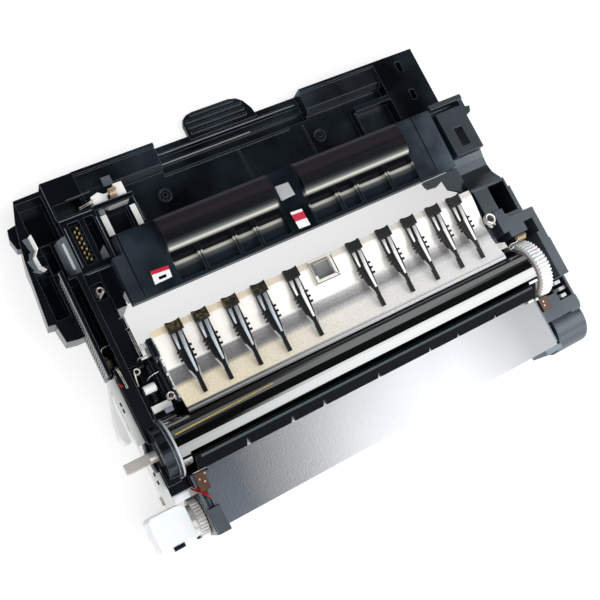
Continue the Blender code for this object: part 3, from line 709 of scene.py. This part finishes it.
def add_coil(bm, centre, axis, across, radius, wire, pitch, turns, legs=()):
    """Helical spring with straight legs given as end points from its first and last turn."""
    line = helix(centre, axis, across, radius, pitch, turns)
    if legs:
        line = [Vector(legs[0]), *line, Vector(legs[1])]
    add_tube(bm, line, wire / 2)


def smooth_line(points, steps=6):
    """Catmull-Rom curve through the points."""
    points = [Vector(p) for p in points]
    padded = [points[0]] + points + [points[-1]]
    line = []
    for a, b, c, d in zip(padded, padded[1:], padded[2:], padded[3:]):
        for k in range(steps):
            t = k / steps
            line.append(0.5 * ((2 * b) + (c - a) * t + (2 * a - 5 * b + 4 * c - d) * t * t
                               + (3 * b - a - 3 * c + d) * t * t * t))
    line.append(points[-1])
    return line


def helix(centre, axis, across, radius, pitch, turns, steps=18):
    """Points of a coil round an axis, starting towards the across direction."""
    centre = Vector(centre)
    axis = Vector(axis).normalized()
    first = Vector(across).normalized()
    second = axis.cross(first)
    points = []
    for k in range(int(turns * steps) + 1):
        turn = 2.0 * math.pi * k / steps
        points.append(centre + axis * pitch * k / steps
                      + (first * math.cos(turn) + second * math.sin(turn)) * radius)
    return points


def circle(x, y, radius, count):
    """Points round an upright axis."""
    turns = [2 * math.pi * k / count for k in range(count)]
    return [(x + radius * math.cos(t), y + radius * math.sin(t)) for t in turns]


def curved_plates(name, material, line, corners, thick=0.3):
    """Piece of thin plates along a line; corners gives each plate's corners from two points of it."""
    make_piece(add_plate, name, material, [(corners(*a, *b), thick) for a, b in zip(line, line[1:])])


# operators

FINISHES = {
    "tray": ("rear_tray", "contact_plate"),
    "deep": ("left_frame", "lever_post"),
    "satin": ("right_frame", "end_cap", "side_block"),
    "coating": ("drum_sleeve",),
    "milky": ("drum_gear", "gear_cap", "side_shelf"),
    "pale": ("drum_flange",),
    "steel": ("drum_shaft", "feed_shaft", "plate_screw_1", "plate_screw_2", "plate_screw_3", "plate_screw_4"),
    "rubber": ("charge_roller",),
    "sheet": ("guide_sheet",),
    "plate": ("front_plate",),
    "strip": ("notched_strip",),
    "board": ("board_left", "board_right"),
    "gear": ("feed_gear",),
    "zinc": ("side_plate",),
    "clear_white": ("side_cover",),
    "white": ("release_lever", "white_roller", "slide_lever"),
    "lid": ("waste_lid",),
}


class DRUMUNIT_OT_finishes(bpy.types.Operator):
    """Gives each solid of the unit its finish"""
    bl_idname = "drumunit.finishes"
    bl_label = "Finishes"

    def execute(self, context):
        make_materials(context.scene.drum_finish)
        chosen = {name: finish for finish, names in FINISHES.items() for name in names}
        for name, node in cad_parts.items():
            finish = "claw" if name.startswith("finger_") else chosen.get(name, "plastic")
            node.data.materials.clear()
            node.data.materials.append(MADE[finish])
            step = node.modifiers.new("round forms", "NODES")
            step.node_group = shared("Smooth round forms", smooth_group)
        return {"FINISHED"}


class DRUMUNIT_OT_socket(bpy.types.Operator):
    """Builds the connector's gold contacts, its insert and the wedge beside it"""
    bl_idname = "drumunit.socket"
    bl_label = "Connector socket"

    def execute(self, context):
        size = context.scene.drum_fittings.contact / MM
        insert = [((-114.4, 103.6, 22.1), (-109, 127.2, 28.2), 0.2)]
        for k in range(7):
            y = 106.2 + 3.04 * k
            insert.append(((-109.6, y - 1.9, 28), (-108.8, y - 0.5, 30.6), 0.1))
        make_piece(add_block, "socket_insert", "deep", insert)
        places = [(-112.5, 107.8 + 3.03 * k) for k in range(6)]
        places += [(-110.6, 109.3 + 3.06 * k) for k in range(6)] + [(-110.6, 106.2)]
        contacts = [((x - size * 0.4, y - size * 0.5, 28), (x + size * 0.4, y + size * 0.5, 30.2), 0.2)
                    for x, y in places]
        make_piece(add_block, "socket_contacts", "gold", contacts)
        make_piece(add_prism, "socket_wedge", "grey", [
            ([(-105.4, 103.8), (-101, 103.6), (-101.4, 111.4), (-104.8, 108.4)], 25.4, 28.6)])
        return {"FINISHED"}


class DRUMUNIT_OT_springs(bpy.types.Operator):
    """Winds the torsion, ring and tan springs with their posts and wires"""
    bl_idname = "drumunit.springs"
    bl_label = "Springs and wires"

    def execute(self, context):
        wire = context.scene.drum_fittings.wire / MM
        self.torsion("left_torsion_spring", (-114.2, 88.5, 24), 1.8, wire, 8,
                     ((-115.9, 84.9, 23.2), (-116.2, 84.6, 32.2)))
        self.torsion("front_torsion_spring", (-115.4, 42.4, 27.6), 1.5, wire, 4.5,
                     ((-117.6, 43, 27.6), (-117.8, 34.9, 31.4)))
        self.torsion("sheet_ring_spring", (-105.9, 23.7, 34.9), 1.7, wire, 3,
                     ((-107.2, 22, 32), (-104.4, 20.4, 37.2)))
        self.torsion("right_ring_spring", (106.6, 36.2, 39.5), 3, wire * 1.7, 1.6,
                     ((104.8, 32.6, 39.5), (108.2, 32.2, 41.4)))
        make_piece(add_prism, "spring_posts", "deep", [
            (circle(-114.2, 88.5, 1.1, 16), 22.1, 31.4), (circle(-115.4, 42.4, 1.1, 16), 27.1, 31.6),
            (circle(-105.9, 23.7, 0.55, 16), 27.1, 38.4), (circle(106.6, 36.2, 1.9, 16), 36, 41)])
        self.coil("trough_spring", "tan", (
            (-125.1, 50.3, 22.4), (0, 1, 0), (1, 0, 0), 1.75, 0.62, 0.55, 8.2,
            ((-123.4, 48.8, 24.6), (-125.6, 56.6, 25))))
        trough = [([(-125.6, 56.4, 25), (-126.9, 57.4, 27.4), (-126.2, 60.6, 28.6), (-123, 61.4, 28),
                    (-122.8, 61.4, 22)], 0.3)]
        for shift in (0, 0.75):
            trough.append(([(-124.4 + shift, 49.4, 30), (-124.9 + shift, 47.6, 36.6),
                            (-124.4 + shift, 43.6, 36.7), (-124.2 + shift, 37.2, 36.7),
                            (-124.3 + shift, 36.4, 36)], 0.17))
        self.wires("trough_wires", [(smooth_line(points), radius) for points, radius in trough])
        self.wires("wire_loops", self.loops())
        self.coil("right_tan_spring", "tan", ((117.9, 19.1, 39.2), (1, 0, 0), (0, 0, 1), 1.75, 0.7, 0.74, 8))
        self.wires("right_spring_hook", [(smooth_line([
            (118.4, 19.6, 41), (115.6, 17.6, 41.4), (111.3, 17.6, 41.2), (109.2, 16.4, 41),
            (108.6, 14.9, 42.6), (110.8, 15.4, 43)]), 0.35)])
        return {"FINISHED"}

    def coil(self, name, material, row):
        make_piece(add_coil, name, material, [row], smooth=True)

    def wires(self, name, rows):
        make_piece(add_tube, name, "spring", rows, smooth=True)

    def torsion(self, name, base, radius, wire, turns, legs):
        self.coil(name, "spring", (base, (0, 0, 1), (1, 0, 0), radius, wire, wire * 1.08, turns, legs))

    def loops(self):
        """Wire loops round the sheet's left end and the ladder of fine wires behind them"""
        curve = smooth_line([(-112.2, 36.2, 30.6), (-111.2, 36.8, 35.2), (-107.6, 37.4, 35.6),
                             (-104.6, 37.4, 35.4)])
        rows = [
            ([(-112.8, 47.4, 30.2), (-112.2, 47.8, 35), (-104.2, 47.2, 35.4), (-104.1, 43, 35.6),
              (-104.9, 41.6, 35)], 0.3),
            (curve, 0.28),
            ([(-111.6, 71.4, 30.5), (-109.2, 71.4, 30.5), (-109.1, 65.2, 30.5), (-111, 64.9, 30.5)], 0.24),
            ([(-110.3, 63.6, 30.4), (-110.3, 48.4, 30.4)], 0.2),
            ([(-109.4, 63.4, 30.2), (-109.3, 49.6, 30.2)], 0.2),
        ]
        for k in range(9):
            y = 50.2 + 1.6 * k
            rows.append(([(-110.4, y, 30.3), (-109.3, y, 30.2)], 0.14, 6))
        return rows


class DRUMUNIT_OT_left_fittings(bpy.types.Operator):
    """Adds the comb, strips, brackets and painted bright edge highlights of the left side"""
    bl_idname = "drumunit.left_fittings"
    bl_label = "Left side fittings"

    def execute(self, context):
        self.comb(context.scene.drum_fittings.comb_pitch / MM)
        make_piece(add_block, "white_strips", "clear_white", [
            ((-96.3, 114.6, 26.05), (-92.9, 126.8, 26.6), 0.12),
            ((-79.3, 114.6, 26.05), (-76.1, 126.8, 26.6), 0.12),
            ((-108.6, 51, 31), (-106.4, 54.4, 33.6), 0.5)])
        make_piece(add_block, "grey_pads", "grey", [
            ((-95.8, 127.4, 25.2), (-92.6, 131.6, 26), 0.15),
            ((-111.8, 16.4, 35), (-107.2, 19, 36), 0.2)])
        # thin pale strips that paint dim highlight lines along the partition, the rear wall and the left
        # front top edge, and a pale pad
        make_piece(add_block, "dim_painted_highlights", "lip", [
            ((-84.8, 144.9, 15), (-79.2, 150.4, 15.6), 0.15),
            ((-108, 143.5, 20.1), (-94, 143.9, 20.4), 0.06),
            ((-117.2, 134.6, 20.1), (-116.8, 156, 20.4), 0.06),
            ((-114.9, -48.4, 36.05), (-113.3, -16.8, 36.4), 0.1)])
        make_piece(add_block, "lever_bridge", "deep", [
            ((-99.2, 130, 27), (-75, 133, 28.8), 0.3),
            ((-111.6, 48, 28), (-108.4, 72, 29.4), 0.2)])
        self.curved()
        make_piece(add_block, "sheet_bracket", "deep", [
            ((-106.4, 43, 35.2), (-102.5, 54.4, 41.4), 0.8),
            ((-106, 26, 34.7), (-104.6, 42, 36.2), 0.3),
            ((-113.6, 24.6, 27.1), (-111.4, 29, 31), 0.4),
            ((-110.2, 38.6, 27.1), (-108.4, 43, 33.4), 0.4)])
        make_piece(add_tube, "lever_needle", "spring", [
            ([(-104.2, 135.7, 24.6), (-95, 136.3, 27.4)], 0.32),
            ([(-104.4, 134.6, 24.6), (-96, 135.3, 27.6)], 0.25)], smooth=True)
        make_piece(add_coil, "lever_spring", "tan", [
            ((-87.2, 135.8, 29.5), (1, 0, 0), (0, 0, 1), 2.5, 0.6, 0.7, 6)], "lever", True)
        return {"FINISHED"}

    def comb(self, pitch):
        """Fine ribs of the left side wall between two rails, pale to paint the highlights on them"""
        ribs = [((-130.1, y, 18.6), (-129.55, y + pitch * 0.36, 34.6), 0.08)
                for y in [47.2 + pitch * k for k in range(int(57.0 / pitch))]]
        rails = [((-130.1, 46.6, z), (-129.55, 104.6, z + 0.45), 0.08) for z in (18.4, 34.4)]
        make_piece(add_block, "comb_ribs", "rail", ribs + rails)

    def curved(self):
        """Curved bright strip at the far left with a plate of painted shade beside it, painted highlight
        lines on the rims of the wells, and painted light and a painted glint on the curved wall beside the
        socket
        """
        low = [(-134.6, 130.6), (-134.2, 122.6), (-136.9, 119), (-136.6, 113), (-134.6, 110.4)]
        curved_plates("curved_strip", "trim", low, lambda xa, ya, xb, yb: [
            (xa, ya, 25), (xb, yb, 25), (xb + 1.5, yb, 28.2), (xa + 1.5, ya, 28.2)])
        curved_plates("curved_strip_shade", "lip", low, lambda xa, ya, xb, yb: [
            (xa - 3.4, ya, 24), (xb - 2.2, yb, 24), (xb, yb, 24.9), (xa, ya, 24.9)])
        # thin strips that paint highlight lines along the rims of the wells
        make_piece(add_block, "frame_rim_highlights", "rim", [
            ((x0, y0, z), (x1, y1, z + 0.25), 0.06) for x0, x1, y0, y1, z in (
                (-118.4, -99.6, 129.9, 130.3, 32.05), (-99.5, -99.1, 98.6, 126, 32.05),
                (-116.8, -99.8, 98.4, 98.8, 32.05), (-117.1, -116.7, 103, 126, 32.05),
                (-75.4, -75, 116.2, 132.8, 26.1), (-99, -75.2, 132.7, 132.95, 28.8))])
        # a paler skin over the curved wall paints the light on it, and a glint strip paints its highlight
        wall = [(-123.9, 22.4), (-122.8, 27.2), (-120.8, 30.7), (-118.2, 32.2)]
        curved_plates("curved_wall_painted_light", "lip", wall, lambda xa, za, xb, zb: [
            (xa, 101.4, za), (xb, 101.4, zb), (xb, 122.2, zb), (xa, 122.2, za)], 0.25)
        curved_plates("curved_wall_glint", "glint", [(-121.4, 30.6), (-120.2, 31.5)], lambda xa, za, xb, zb: [
            (xa, 104, za), (xb, 104, zb), (xb, 119, zb), (xa, 119, za)], 0.3)


class DRUMUNIT_OT_sheet_trim(bpy.types.Operator):
    """Adds the torn bright left edge of the guide sheet, its right corner flap and its pocket"""
    bl_idname = "drumunit.sheet_trim"
    bl_label = "Sheet trim"

    def execute(self, context):
        profile = [(56.8, 41), (53.5, 41), (50, 40.6), (46, 40.05), (42, 39.4), (38, 38.75),
                   (35, 38.3), (33, 38.1), (30, 38), (27, 38.1), (25, 38.5), (22, 39.3),
                   (20.2, 39.9)]
        torn = []
        for k, ((ya, za), (yb, zb)) in enumerate(zip(profile, profile[1:])):
            x = -102.5 - (0.5 + 0.5 * math.sin(k * 2.3))
            torn.append(([(-102, ya, za), (x, ya - 0.4, za - 0.3), (x, yb + 0.3, zb - 0.3),
                          (-102, yb, zb)], 0.25))
        make_piece(add_plate, "sheet_left_edge", "trim", torn)
        flap = bmesh.new()
        corner = [(103.6, 21.8, 39.2), (108.4, 20.4, 40.4), (109, 16.8, 40.6), (103.8, 17.2, 39.6)]
        add_plate(flap, corner, 0.3)
        add_block(flap, (104.2, -17.8, 37.2), (108.6, -16.5, 39), 0.3)
        add_block(flap, (110, -18.4, 36.8), (112, -16.8, 38.6), 0.3)
        add_block(flap, (105.6, 31.2, 39.1), (107.2, 33, 39.9), 0.3)
        finish_piece("sheet_flap", flap, "trim")
        self.pocket()
        return {"FINISHED"}

    def pocket(self):
        """Grey floor and dark folded edges of the sheet's pocket"""
        base = bmesh.new()
        for outline in (((-8.4, 47.7), (-6.9, 47.7), (-6.9, 55.4), (-8.4, 55.4)),
                        ((-6.9, 54.1), (2.8, 54.1), (2.8, 55.4), (-6.9, 55.4)),
                        ((-7, 45.2), (-6.6, 45.2), (-6.6, 54), (-7, 54))):
            add_prism(base, outline, 42.6, 42.68)
        add_block(base, (-6.7, 45.3, 40.65), (3.1, 53.9, 40.8), 0.05)
        finish_piece("pocket_floor", base, "pocket")
        make_piece(add_prism, "pocket_folds", "fold", [
            (outline, 42.6, 42.7) for outline in (
                ((-9.2, 43.1), (5.4, 43), (5.4, 43.4), (-9.2, 43.5)),
                ((-9.2, 43.1), (-8.8, 43.1), (-8.8, 56), (-9.2, 56)),
                ((3, 45.2), (3.3, 45.2), (3.3, 54), (3, 54)),
                ((3.3, 45.2), (5.2, 43.2), (5.5, 43.4), (3.4, 45.6)),
                ((4.9, 44.6), (5.5, 44.6), (5.5, 55.4), (4.9, 55.4)))])


class DRUMUNIT_OT_lid_fields(bpy.types.Operator):
    """Lays the tape and the plain colour fields on the waste lid"""
    bl_idname = "drumunit.lid_fields"
    bl_label = "Lid colour fields"

    def execute(self, context):
        fields = (
            ("middle_tape", ((-6.2, 93.1), (2.7, 93.7), (2.1, 101.5), (-6.2, 101.8)), "tape", 0.08),
            ("middle_field", ((-4.1, 75.2), (3, 74.9), (2.4, 85), (-4.7, 85.4)), "label_white", 0.08),
            ("middle_stripe", ((-4.4, 79.6), (2.7, 79.3), (2.5, 83.4), (-4.6, 83.8)), "label_red", 0.16),
            ("left_field", ((-89.4, 78), (-79.5, 78.4), (-78.9, 84.6), (-88.7, 85.3)), "label_white", 0.08),
            ("left_band", ((-88.8, 83.2), (-79, 82.6), (-78.9, 84.7), (-88.7, 85.3)), "label_red", 0.16),
            ("left_patch", ((-86.2, 79.4), (-82, 79.4), (-82, 81), (-86.2, 81)), "deep", 0.16),
        )
        for name, corners, material, lift in fields:
            raised = [(x, y, LID_TOP + LID_RISE * (y - LID_FRONT) / LID_DEPTH + lift) for x, y in corners]
            make_piece(add_plate, name, material, [(raised, 0.06)])
        return {"FINISHED"}


class DRUMUNIT_OT_front_fittings(bpy.types.Operator):
    """Adds the lead wires, board spots, dark blocks of painted shade in the side plate's slots, and latch
    bits with a painted highlight colour
    """
    bl_idname = "drumunit.front_fittings"
    bl_label = "Front fittings"

    def execute(self, context):
        radius = context.scene.drum_fittings.lead / MM / 2
        leads = (
            (((-120.4, -10.8, 33), (-118.4, -11.6, 35), (-116.6, -12.6, 35.6), (-115.6, -14, 34.6)), 1),
            (((-116.6, -22.6, 33.6), (-115.4, -24.6, 36.4), (-113.4, -26.6, 37.4), (-111.5, -28.8, 38.4),
              (-110.4, -30.8, 38)), 1),
            (((-115.4, -22, 33.6), (-114, -24.2, 36.6), (-112.2, -26.2, 37.6), (-110.7, -28.2, 38.2)), 1),
            (((-127, 40.8, 34), (-126.4, 39.4, 36.4), (-125.7, 37.8, 36.6)), 0.8),
        )
        make_piece(add_tube, "red_leads", "red", [
            (smooth_line(points), radius * share) for points, share in leads], smooth=True)
        make_piece(add_prism, "solder_spots", "spot", [
            (circle(x, y, 0.5, 10), z, z + 0.35) for x, y, z in (
                (-109.6, -22.4, 38.5), (-108, -18.6, 38.5), (-111.6, -20.4, 38.5),
                (115.2, -20.6, 36.5), (114.6, -22.9, 36.5))])
        # dark blocks that paint the shade inside the side plate's slots
        slots = [((-130.2, y - 1.1, 33), (-129.4, y + 1.1, 33.15), 0.04) for y in (27, 30.4, -8, -12.6)]
        slots += [((-128.35, y - 2.2, 20), (-128.1, y + 2.2, 24), 0.08) for y in (12, 2, -20)]
        slots += [((-136.4, -46.6, 30.02), (-130.4, -44.4, 30.3), 0.1),
                  ((-121.6, -47.9, 8), (-117.4, -46.6, 14), 0.4)]
        make_piece(add_block, "side_plate_slot_shade", "deep", slots)
        # bright blocks whose colour paints the highlights on the latch teeth
        make_piece(add_block, "latch_teeth", "glint", [
            ((129.4, -15.4, 28), (133.6, -13.2, 34.8), 0.2),
            ((131.6, -19.8, 26), (136.2, -17.6, 32.6), 0.2),
            ((129.4, -23.8, 28), (133.2, -21.6, 34.8), 0.2)])
        return {"FINISHED"}


class DRUMUNIT_OT_long_lines(bpy.types.Operator):
    """Adds the long fine lines: painted highlights on the tray rails and the strip's edge, plate tongues, a
    painted reflection line on the drum and a painted highlight ring on the flange rim
    """
    bl_idname = "drumunit.long_lines"
    bl_label = "Long fine lines"

    def execute(self, context):
        # thin strips that paint highlight lines along the tray's rails
        make_piece(add_block, "tray_rail_highlights", "rail", [
            ((-47.6, 148.2, 4.75), (12, 148.8, 4.98), 0.08),
            ((-47.6, 154.3, 5.15), (46, 154.7, 5.38), 0.08)])
        # a grey strip that paints the highlight along the notched strip's top edge
        make_piece(add_plate, "strip_edge_highlight", "film", [
            ([(-107, -9.7, 45.9), (107, -9.7, 45.9), (107, -10.9, 44.74), (-107, -10.9, 44.74)], 0.12)])
        make_piece(add_prism, "plate_tongues", "tongue", [
            ([(x - 2.6, -16.2), (x + 2, -16.2), (x - 0.4, -12.4), (x - 1.6, -12.4)], 36.4, 37.2)
            for x in NOTCHES])
        # a thin yellow line laid on the drum paints the reflection of the sheet's cream edge
        reflection_bands = [self.band(-113.7 + 2.7 * k, -111.0 + 2.7 * k, 4.4 + 0.071 * k, 4.471 + 0.071 * k)
                  for k in range(21)]
        make_piece(add_plate, "drum_painted_reflection_line", "gold_line", reflection_bands, "drum")
        # a pale ring round the flange's rim paints its white highlight
        low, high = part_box("drum_flange")
        radius = (high[2] - low[2]) / 2 / MM - RIM_INSET
        x = high[0] / MM + MIDDLE_X - FLANGE_HUB
        turns = [2 * math.pi * k / 72 for k in range(73)]
        ring = [(x, radius * math.cos(t), AXIS_Z + radius * math.sin(t)) for t in turns]
        make_piece(add_tube, "flange_rim_highlight", "claw_pale", [(ring, RIM_HIGHLIGHT_RADIUS)], "drum", True)
        return {"FINISHED"}

    def band(self, x0, x1, y0, y1):
        """One length of the painted reflection line, laid on the sleeve"""
        corners = [(x0, y0), (x1, y1), (x1, y1 + 0.6), (x0, y0 + 0.6)]
        return [(x, y, AXIS_Z + math.sqrt(COATING_RADIUS ** 2 - y * y)) for x, y in corners], 0.06


class DRUMUNIT_OT_claw_trim(bpy.types.Operator):
    """Lays pale bars and wings on each claw"""
    bl_idname = "drumunit.claw_trim"
    bl_label = "Claw trim"

    def execute(self, context):
        for k in range(CLAWS):
            low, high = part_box("finger_%02d" % (k + 1))
            x = (low[0] + high[0]) / 2 / MM + MIDDLE_X + 0.4
            body = "claw_%02d" % (k + 1)
            bars = [([(x + 0.1, 51), (x + 2.2, 51), (x + 1.5, 41), (x + 0.9, 28.6), (x - 0.1, 28.6),
                      (x - 0.4, 41)], 42.6, 43.6),
                    ([(x - 3.4, 51), (x - 1.2, 51), (x - 2.1, 42.6), (x - 3.1, 42)], 42, 43)]
            tone = "claw_pale" if k < PALE_CLAWS else "clear_white"
            make_piece(add_prism, "claw_wire_%02d" % (k + 1), tone, bars, body, True)
            wings = [([(x - 3.4, 30.8), (x - 2.4, 30.4), (x - 1.1, 26.4), (x - 1.1, 23.6), (x - 1.7, 24.4)],
                      42.3, 42.7),
                     ([(x + 1.6, 30.6), (x + 2.6, 31), (x + 1.6, 24.4), (x + 1.1, 24), (x + 1.1, 26.6)],
                      42.3, 42.7)]
            make_piece(add_prism, "claw_wings_%02d" % (k + 1), "claw_film", wings, body)
        return {"FINISHED"}


class DRUMUNIT_OT_stage(bpy.types.Operator):
    """Sets the pale floor, the studio light and the camera"""
    bl_idname = "drumunit.stage"
    bl_label = "Stage"

    def execute(self, context):
        settings = context.scene.drum_stage
        context.scene.view_settings.view_transform = "Standard"
        floor_piece(settings.floor_size)
        world_light(context.scene, settings.key)
        fill_light(context.scene, settings.fill)
        studio_camera(context.scene, settings.lens)
        return {"FINISHED"}


def floor_piece(size):
    """White paper that keeps the shadow and glows for camera, glossy and transmission rays."""
    half = size / 2
    mesh = bpy.data.meshes.new("floor")
    corners = [(-half, -half, 0.0), (half, -half, 0.0), (half, half, 0.0), (-half, half, 0.0)]
    mesh.from_pydata(corners, [], [(0, 1, 2, 3)])
    floor = bpy.data.objects.new("floor", mesh)
    floor.location = (0.0, 0.0, -FLOOR_DROP)
    bpy.context.scene.collection.objects.link(floor)
    look = Look("White paper floor", (0.82, 0.82, 0.83), 0.9)
    tree = look.tree
    glow = add_node(tree, "ShaderNodeEmission", Color=(1.0, 1.0, 1.0, 1.0), Strength=FLOOR_GLOW)
    rays = add_node(tree, "ShaderNodeLightPath").outputs
    seen = math_step(tree, "MAXIMUM", rays["Is Camera Ray"], rays["Is Transmission Ray"])
    seen = math_step(tree, "MAXIMUM", seen, rays["Is Glossy Ray"])
    mix = add_node(tree, "ShaderNodeMixShader")
    tree.links.new(math_step(tree, "MULTIPLY", seen, FLOOR_GLOW_SHARE), mix.inputs[0])
    end = tree.nodes["Material Output"]
    join(tree, (look.shader, 0, mix, 1), (glow, 0, mix, 2), (mix, 0, end, "Surface"))
    mesh.materials.append(look.material)


def world_light(scene, key):
    """Studio round the object: one wide front light, a dim rear one and a dark ceiling."""
    world = bpy.data.worlds.new("Studio")
    scene.world = world
    world.use_nodes = True
    tree = world.node_tree
    place = add_node(tree, "ShaderNodeTexCoord")
    split = add_node(tree, "ShaderNodeSeparateXYZ")
    join(tree, (place, "Generated", split, 0))
    front = math_step(tree, "MULTIPLY", split.outputs["Y"], -1.0)
    tilt = math_step(tree, "ARCTAN2", front, split.outputs["Z"])
    slant = math_step(tree, "MULTIPLY_ADD", split.outputs["X"], SLANT, SLANT_START)
    turn = add_node(tree, "ShaderNodeMapRange", From_Min=-math.pi, From_Max=math.pi)
    tree.links.new(math_step(tree, "ADD", tilt, slant), turn.inputs["Value"])
    bands = add_node(tree, "ShaderNodeValToRGB")
    bands.color_ramp.interpolation = "EASE"
    set_stops(bands.color_ramp, [((degrees + 180.0) / 360.0, level) for degrees, level in STUDIO_BANDS])
    side = add_node(tree, "ShaderNodeMapRange", From_Max=LEFT_REACH, To_Min=LEFT_DIM)
    side.interpolation_type = "SMOOTHSTEP"
    join(tree, (turn, "Result", bands, "Fac"), (split, "X", side, "Value"))
    level = math_step(tree, "MULTIPLY", bands.outputs["Color"], side.outputs["Result"])
    rays = add_node(tree, "ShaderNodeLightPath").outputs
    white = math_step(tree, "MAXIMUM", rays["Is Camera Ray"], rays["Is Transmission Ray"])
    pick = add_node(tree, "ShaderNodeMix")
    pick.data_type = "FLOAT"
    pick.inputs["B"].default_value = 1.0
    tree.links.new(white, pick.inputs["Factor"])
    tree.links.new(math_step(tree, "MULTIPLY", level, key), pick.inputs["A"])
    background = tree.nodes["Background"]
    background.inputs["Color"].default_value = (1.0, 1.0, 1.0, 1.0)
    join(tree, (pick, "Result", background, "Strength"))


def fill_light(scene, strength):
    """Wide soft light from above that brightens pale parts and leaves no mirror image."""
    data = bpy.data.lights.new("fill", "SUN")
    data.energy = strength
    data.angle = FILL_WIDTH
    lamp = bpy.data.objects.new("fill", data)
    lamp.rotation_euler = FILL_TURN
    lamp.visible_glossy = False
    scene.collection.objects.link(lamp)


def studio_camera(scene, lens):
    """Camera at its fitted place, turned by its right, up and back directions."""
    data = bpy.data.cameras.new("camera")
    camera = bpy.data.objects.new("camera", data)
    scene.collection.objects.link(camera)
    data.sensor_width = SENSOR_WIDTH
    data.lens = lens
    data.clip_start = 0.02
    data.clip_end = 50.0
    place = Matrix((CAMERA_RIGHT, CAMERA_UP, CAMERA_BACK)).transposed().to_4x4()
    place.translation = at(*CAMERA_PLACE)
    camera.matrix_world = place
    scene.camera = camera


class DRUMUNIT_PT_panel(bpy.types.Panel):
    """Lists the unit's operators and settings"""
    bl_label = "Drum unit"
    bl_idname = "DRUMUNIT_PT_panel"
    bl_space_type = "VIEW_3D"
    bl_region_type = "UI"
    bl_category = "Drum unit"

    def draw(self, context):
        scene = context.scene
        for group in (scene.drum_finish, scene.drum_fittings, scene.drum_stage):
            box = self.layout.box()
            for label in group.bl_rna.properties.keys():
                if label not in ("rna_type", "name"):
                    box.prop(group, label)
        for step in STEPS:
            self.layout.operator(step.bl_idname)


STEPS = (
    DRUMUNIT_OT_finishes,
    DRUMUNIT_OT_socket,
    DRUMUNIT_OT_springs,
    DRUMUNIT_OT_left_fittings,
    DRUMUNIT_OT_sheet_trim,
    DRUMUNIT_OT_lid_fields,
    DRUMUNIT_OT_front_fittings,
    DRUMUNIT_OT_long_lines,
    DRUMUNIT_OT_claw_trim,
    DRUMUNIT_OT_stage,
)
SETTINGS = {
    "drum_finish": DrumFinishSettings,
    "drum_fittings": DrumFittingSettings,
    "drum_stage": DrumStageSettings,
}
CLASSES = (*SETTINGS.values(), *STEPS, DRUMUNIT_PT_panel)


def register():
    for made in CLASSES:
        bpy.utils.register_class(made)
    for name, group in SETTINGS.items():
        setattr(bpy.types.Scene, name, bpy.props.PointerProperty(type=group))


def unregister():
    for name in SETTINGS:
        delattr(bpy.types.Scene, name)
    for made in reversed(CLASSES):
        bpy.utils.unregister_class(made)


def main():
    register()
    for step in STEPS:
        group, name = step.bl_idname.split(".")
        getattr(getattr(bpy.ops, group), name)()


if __name__ == "__main__":
    main()
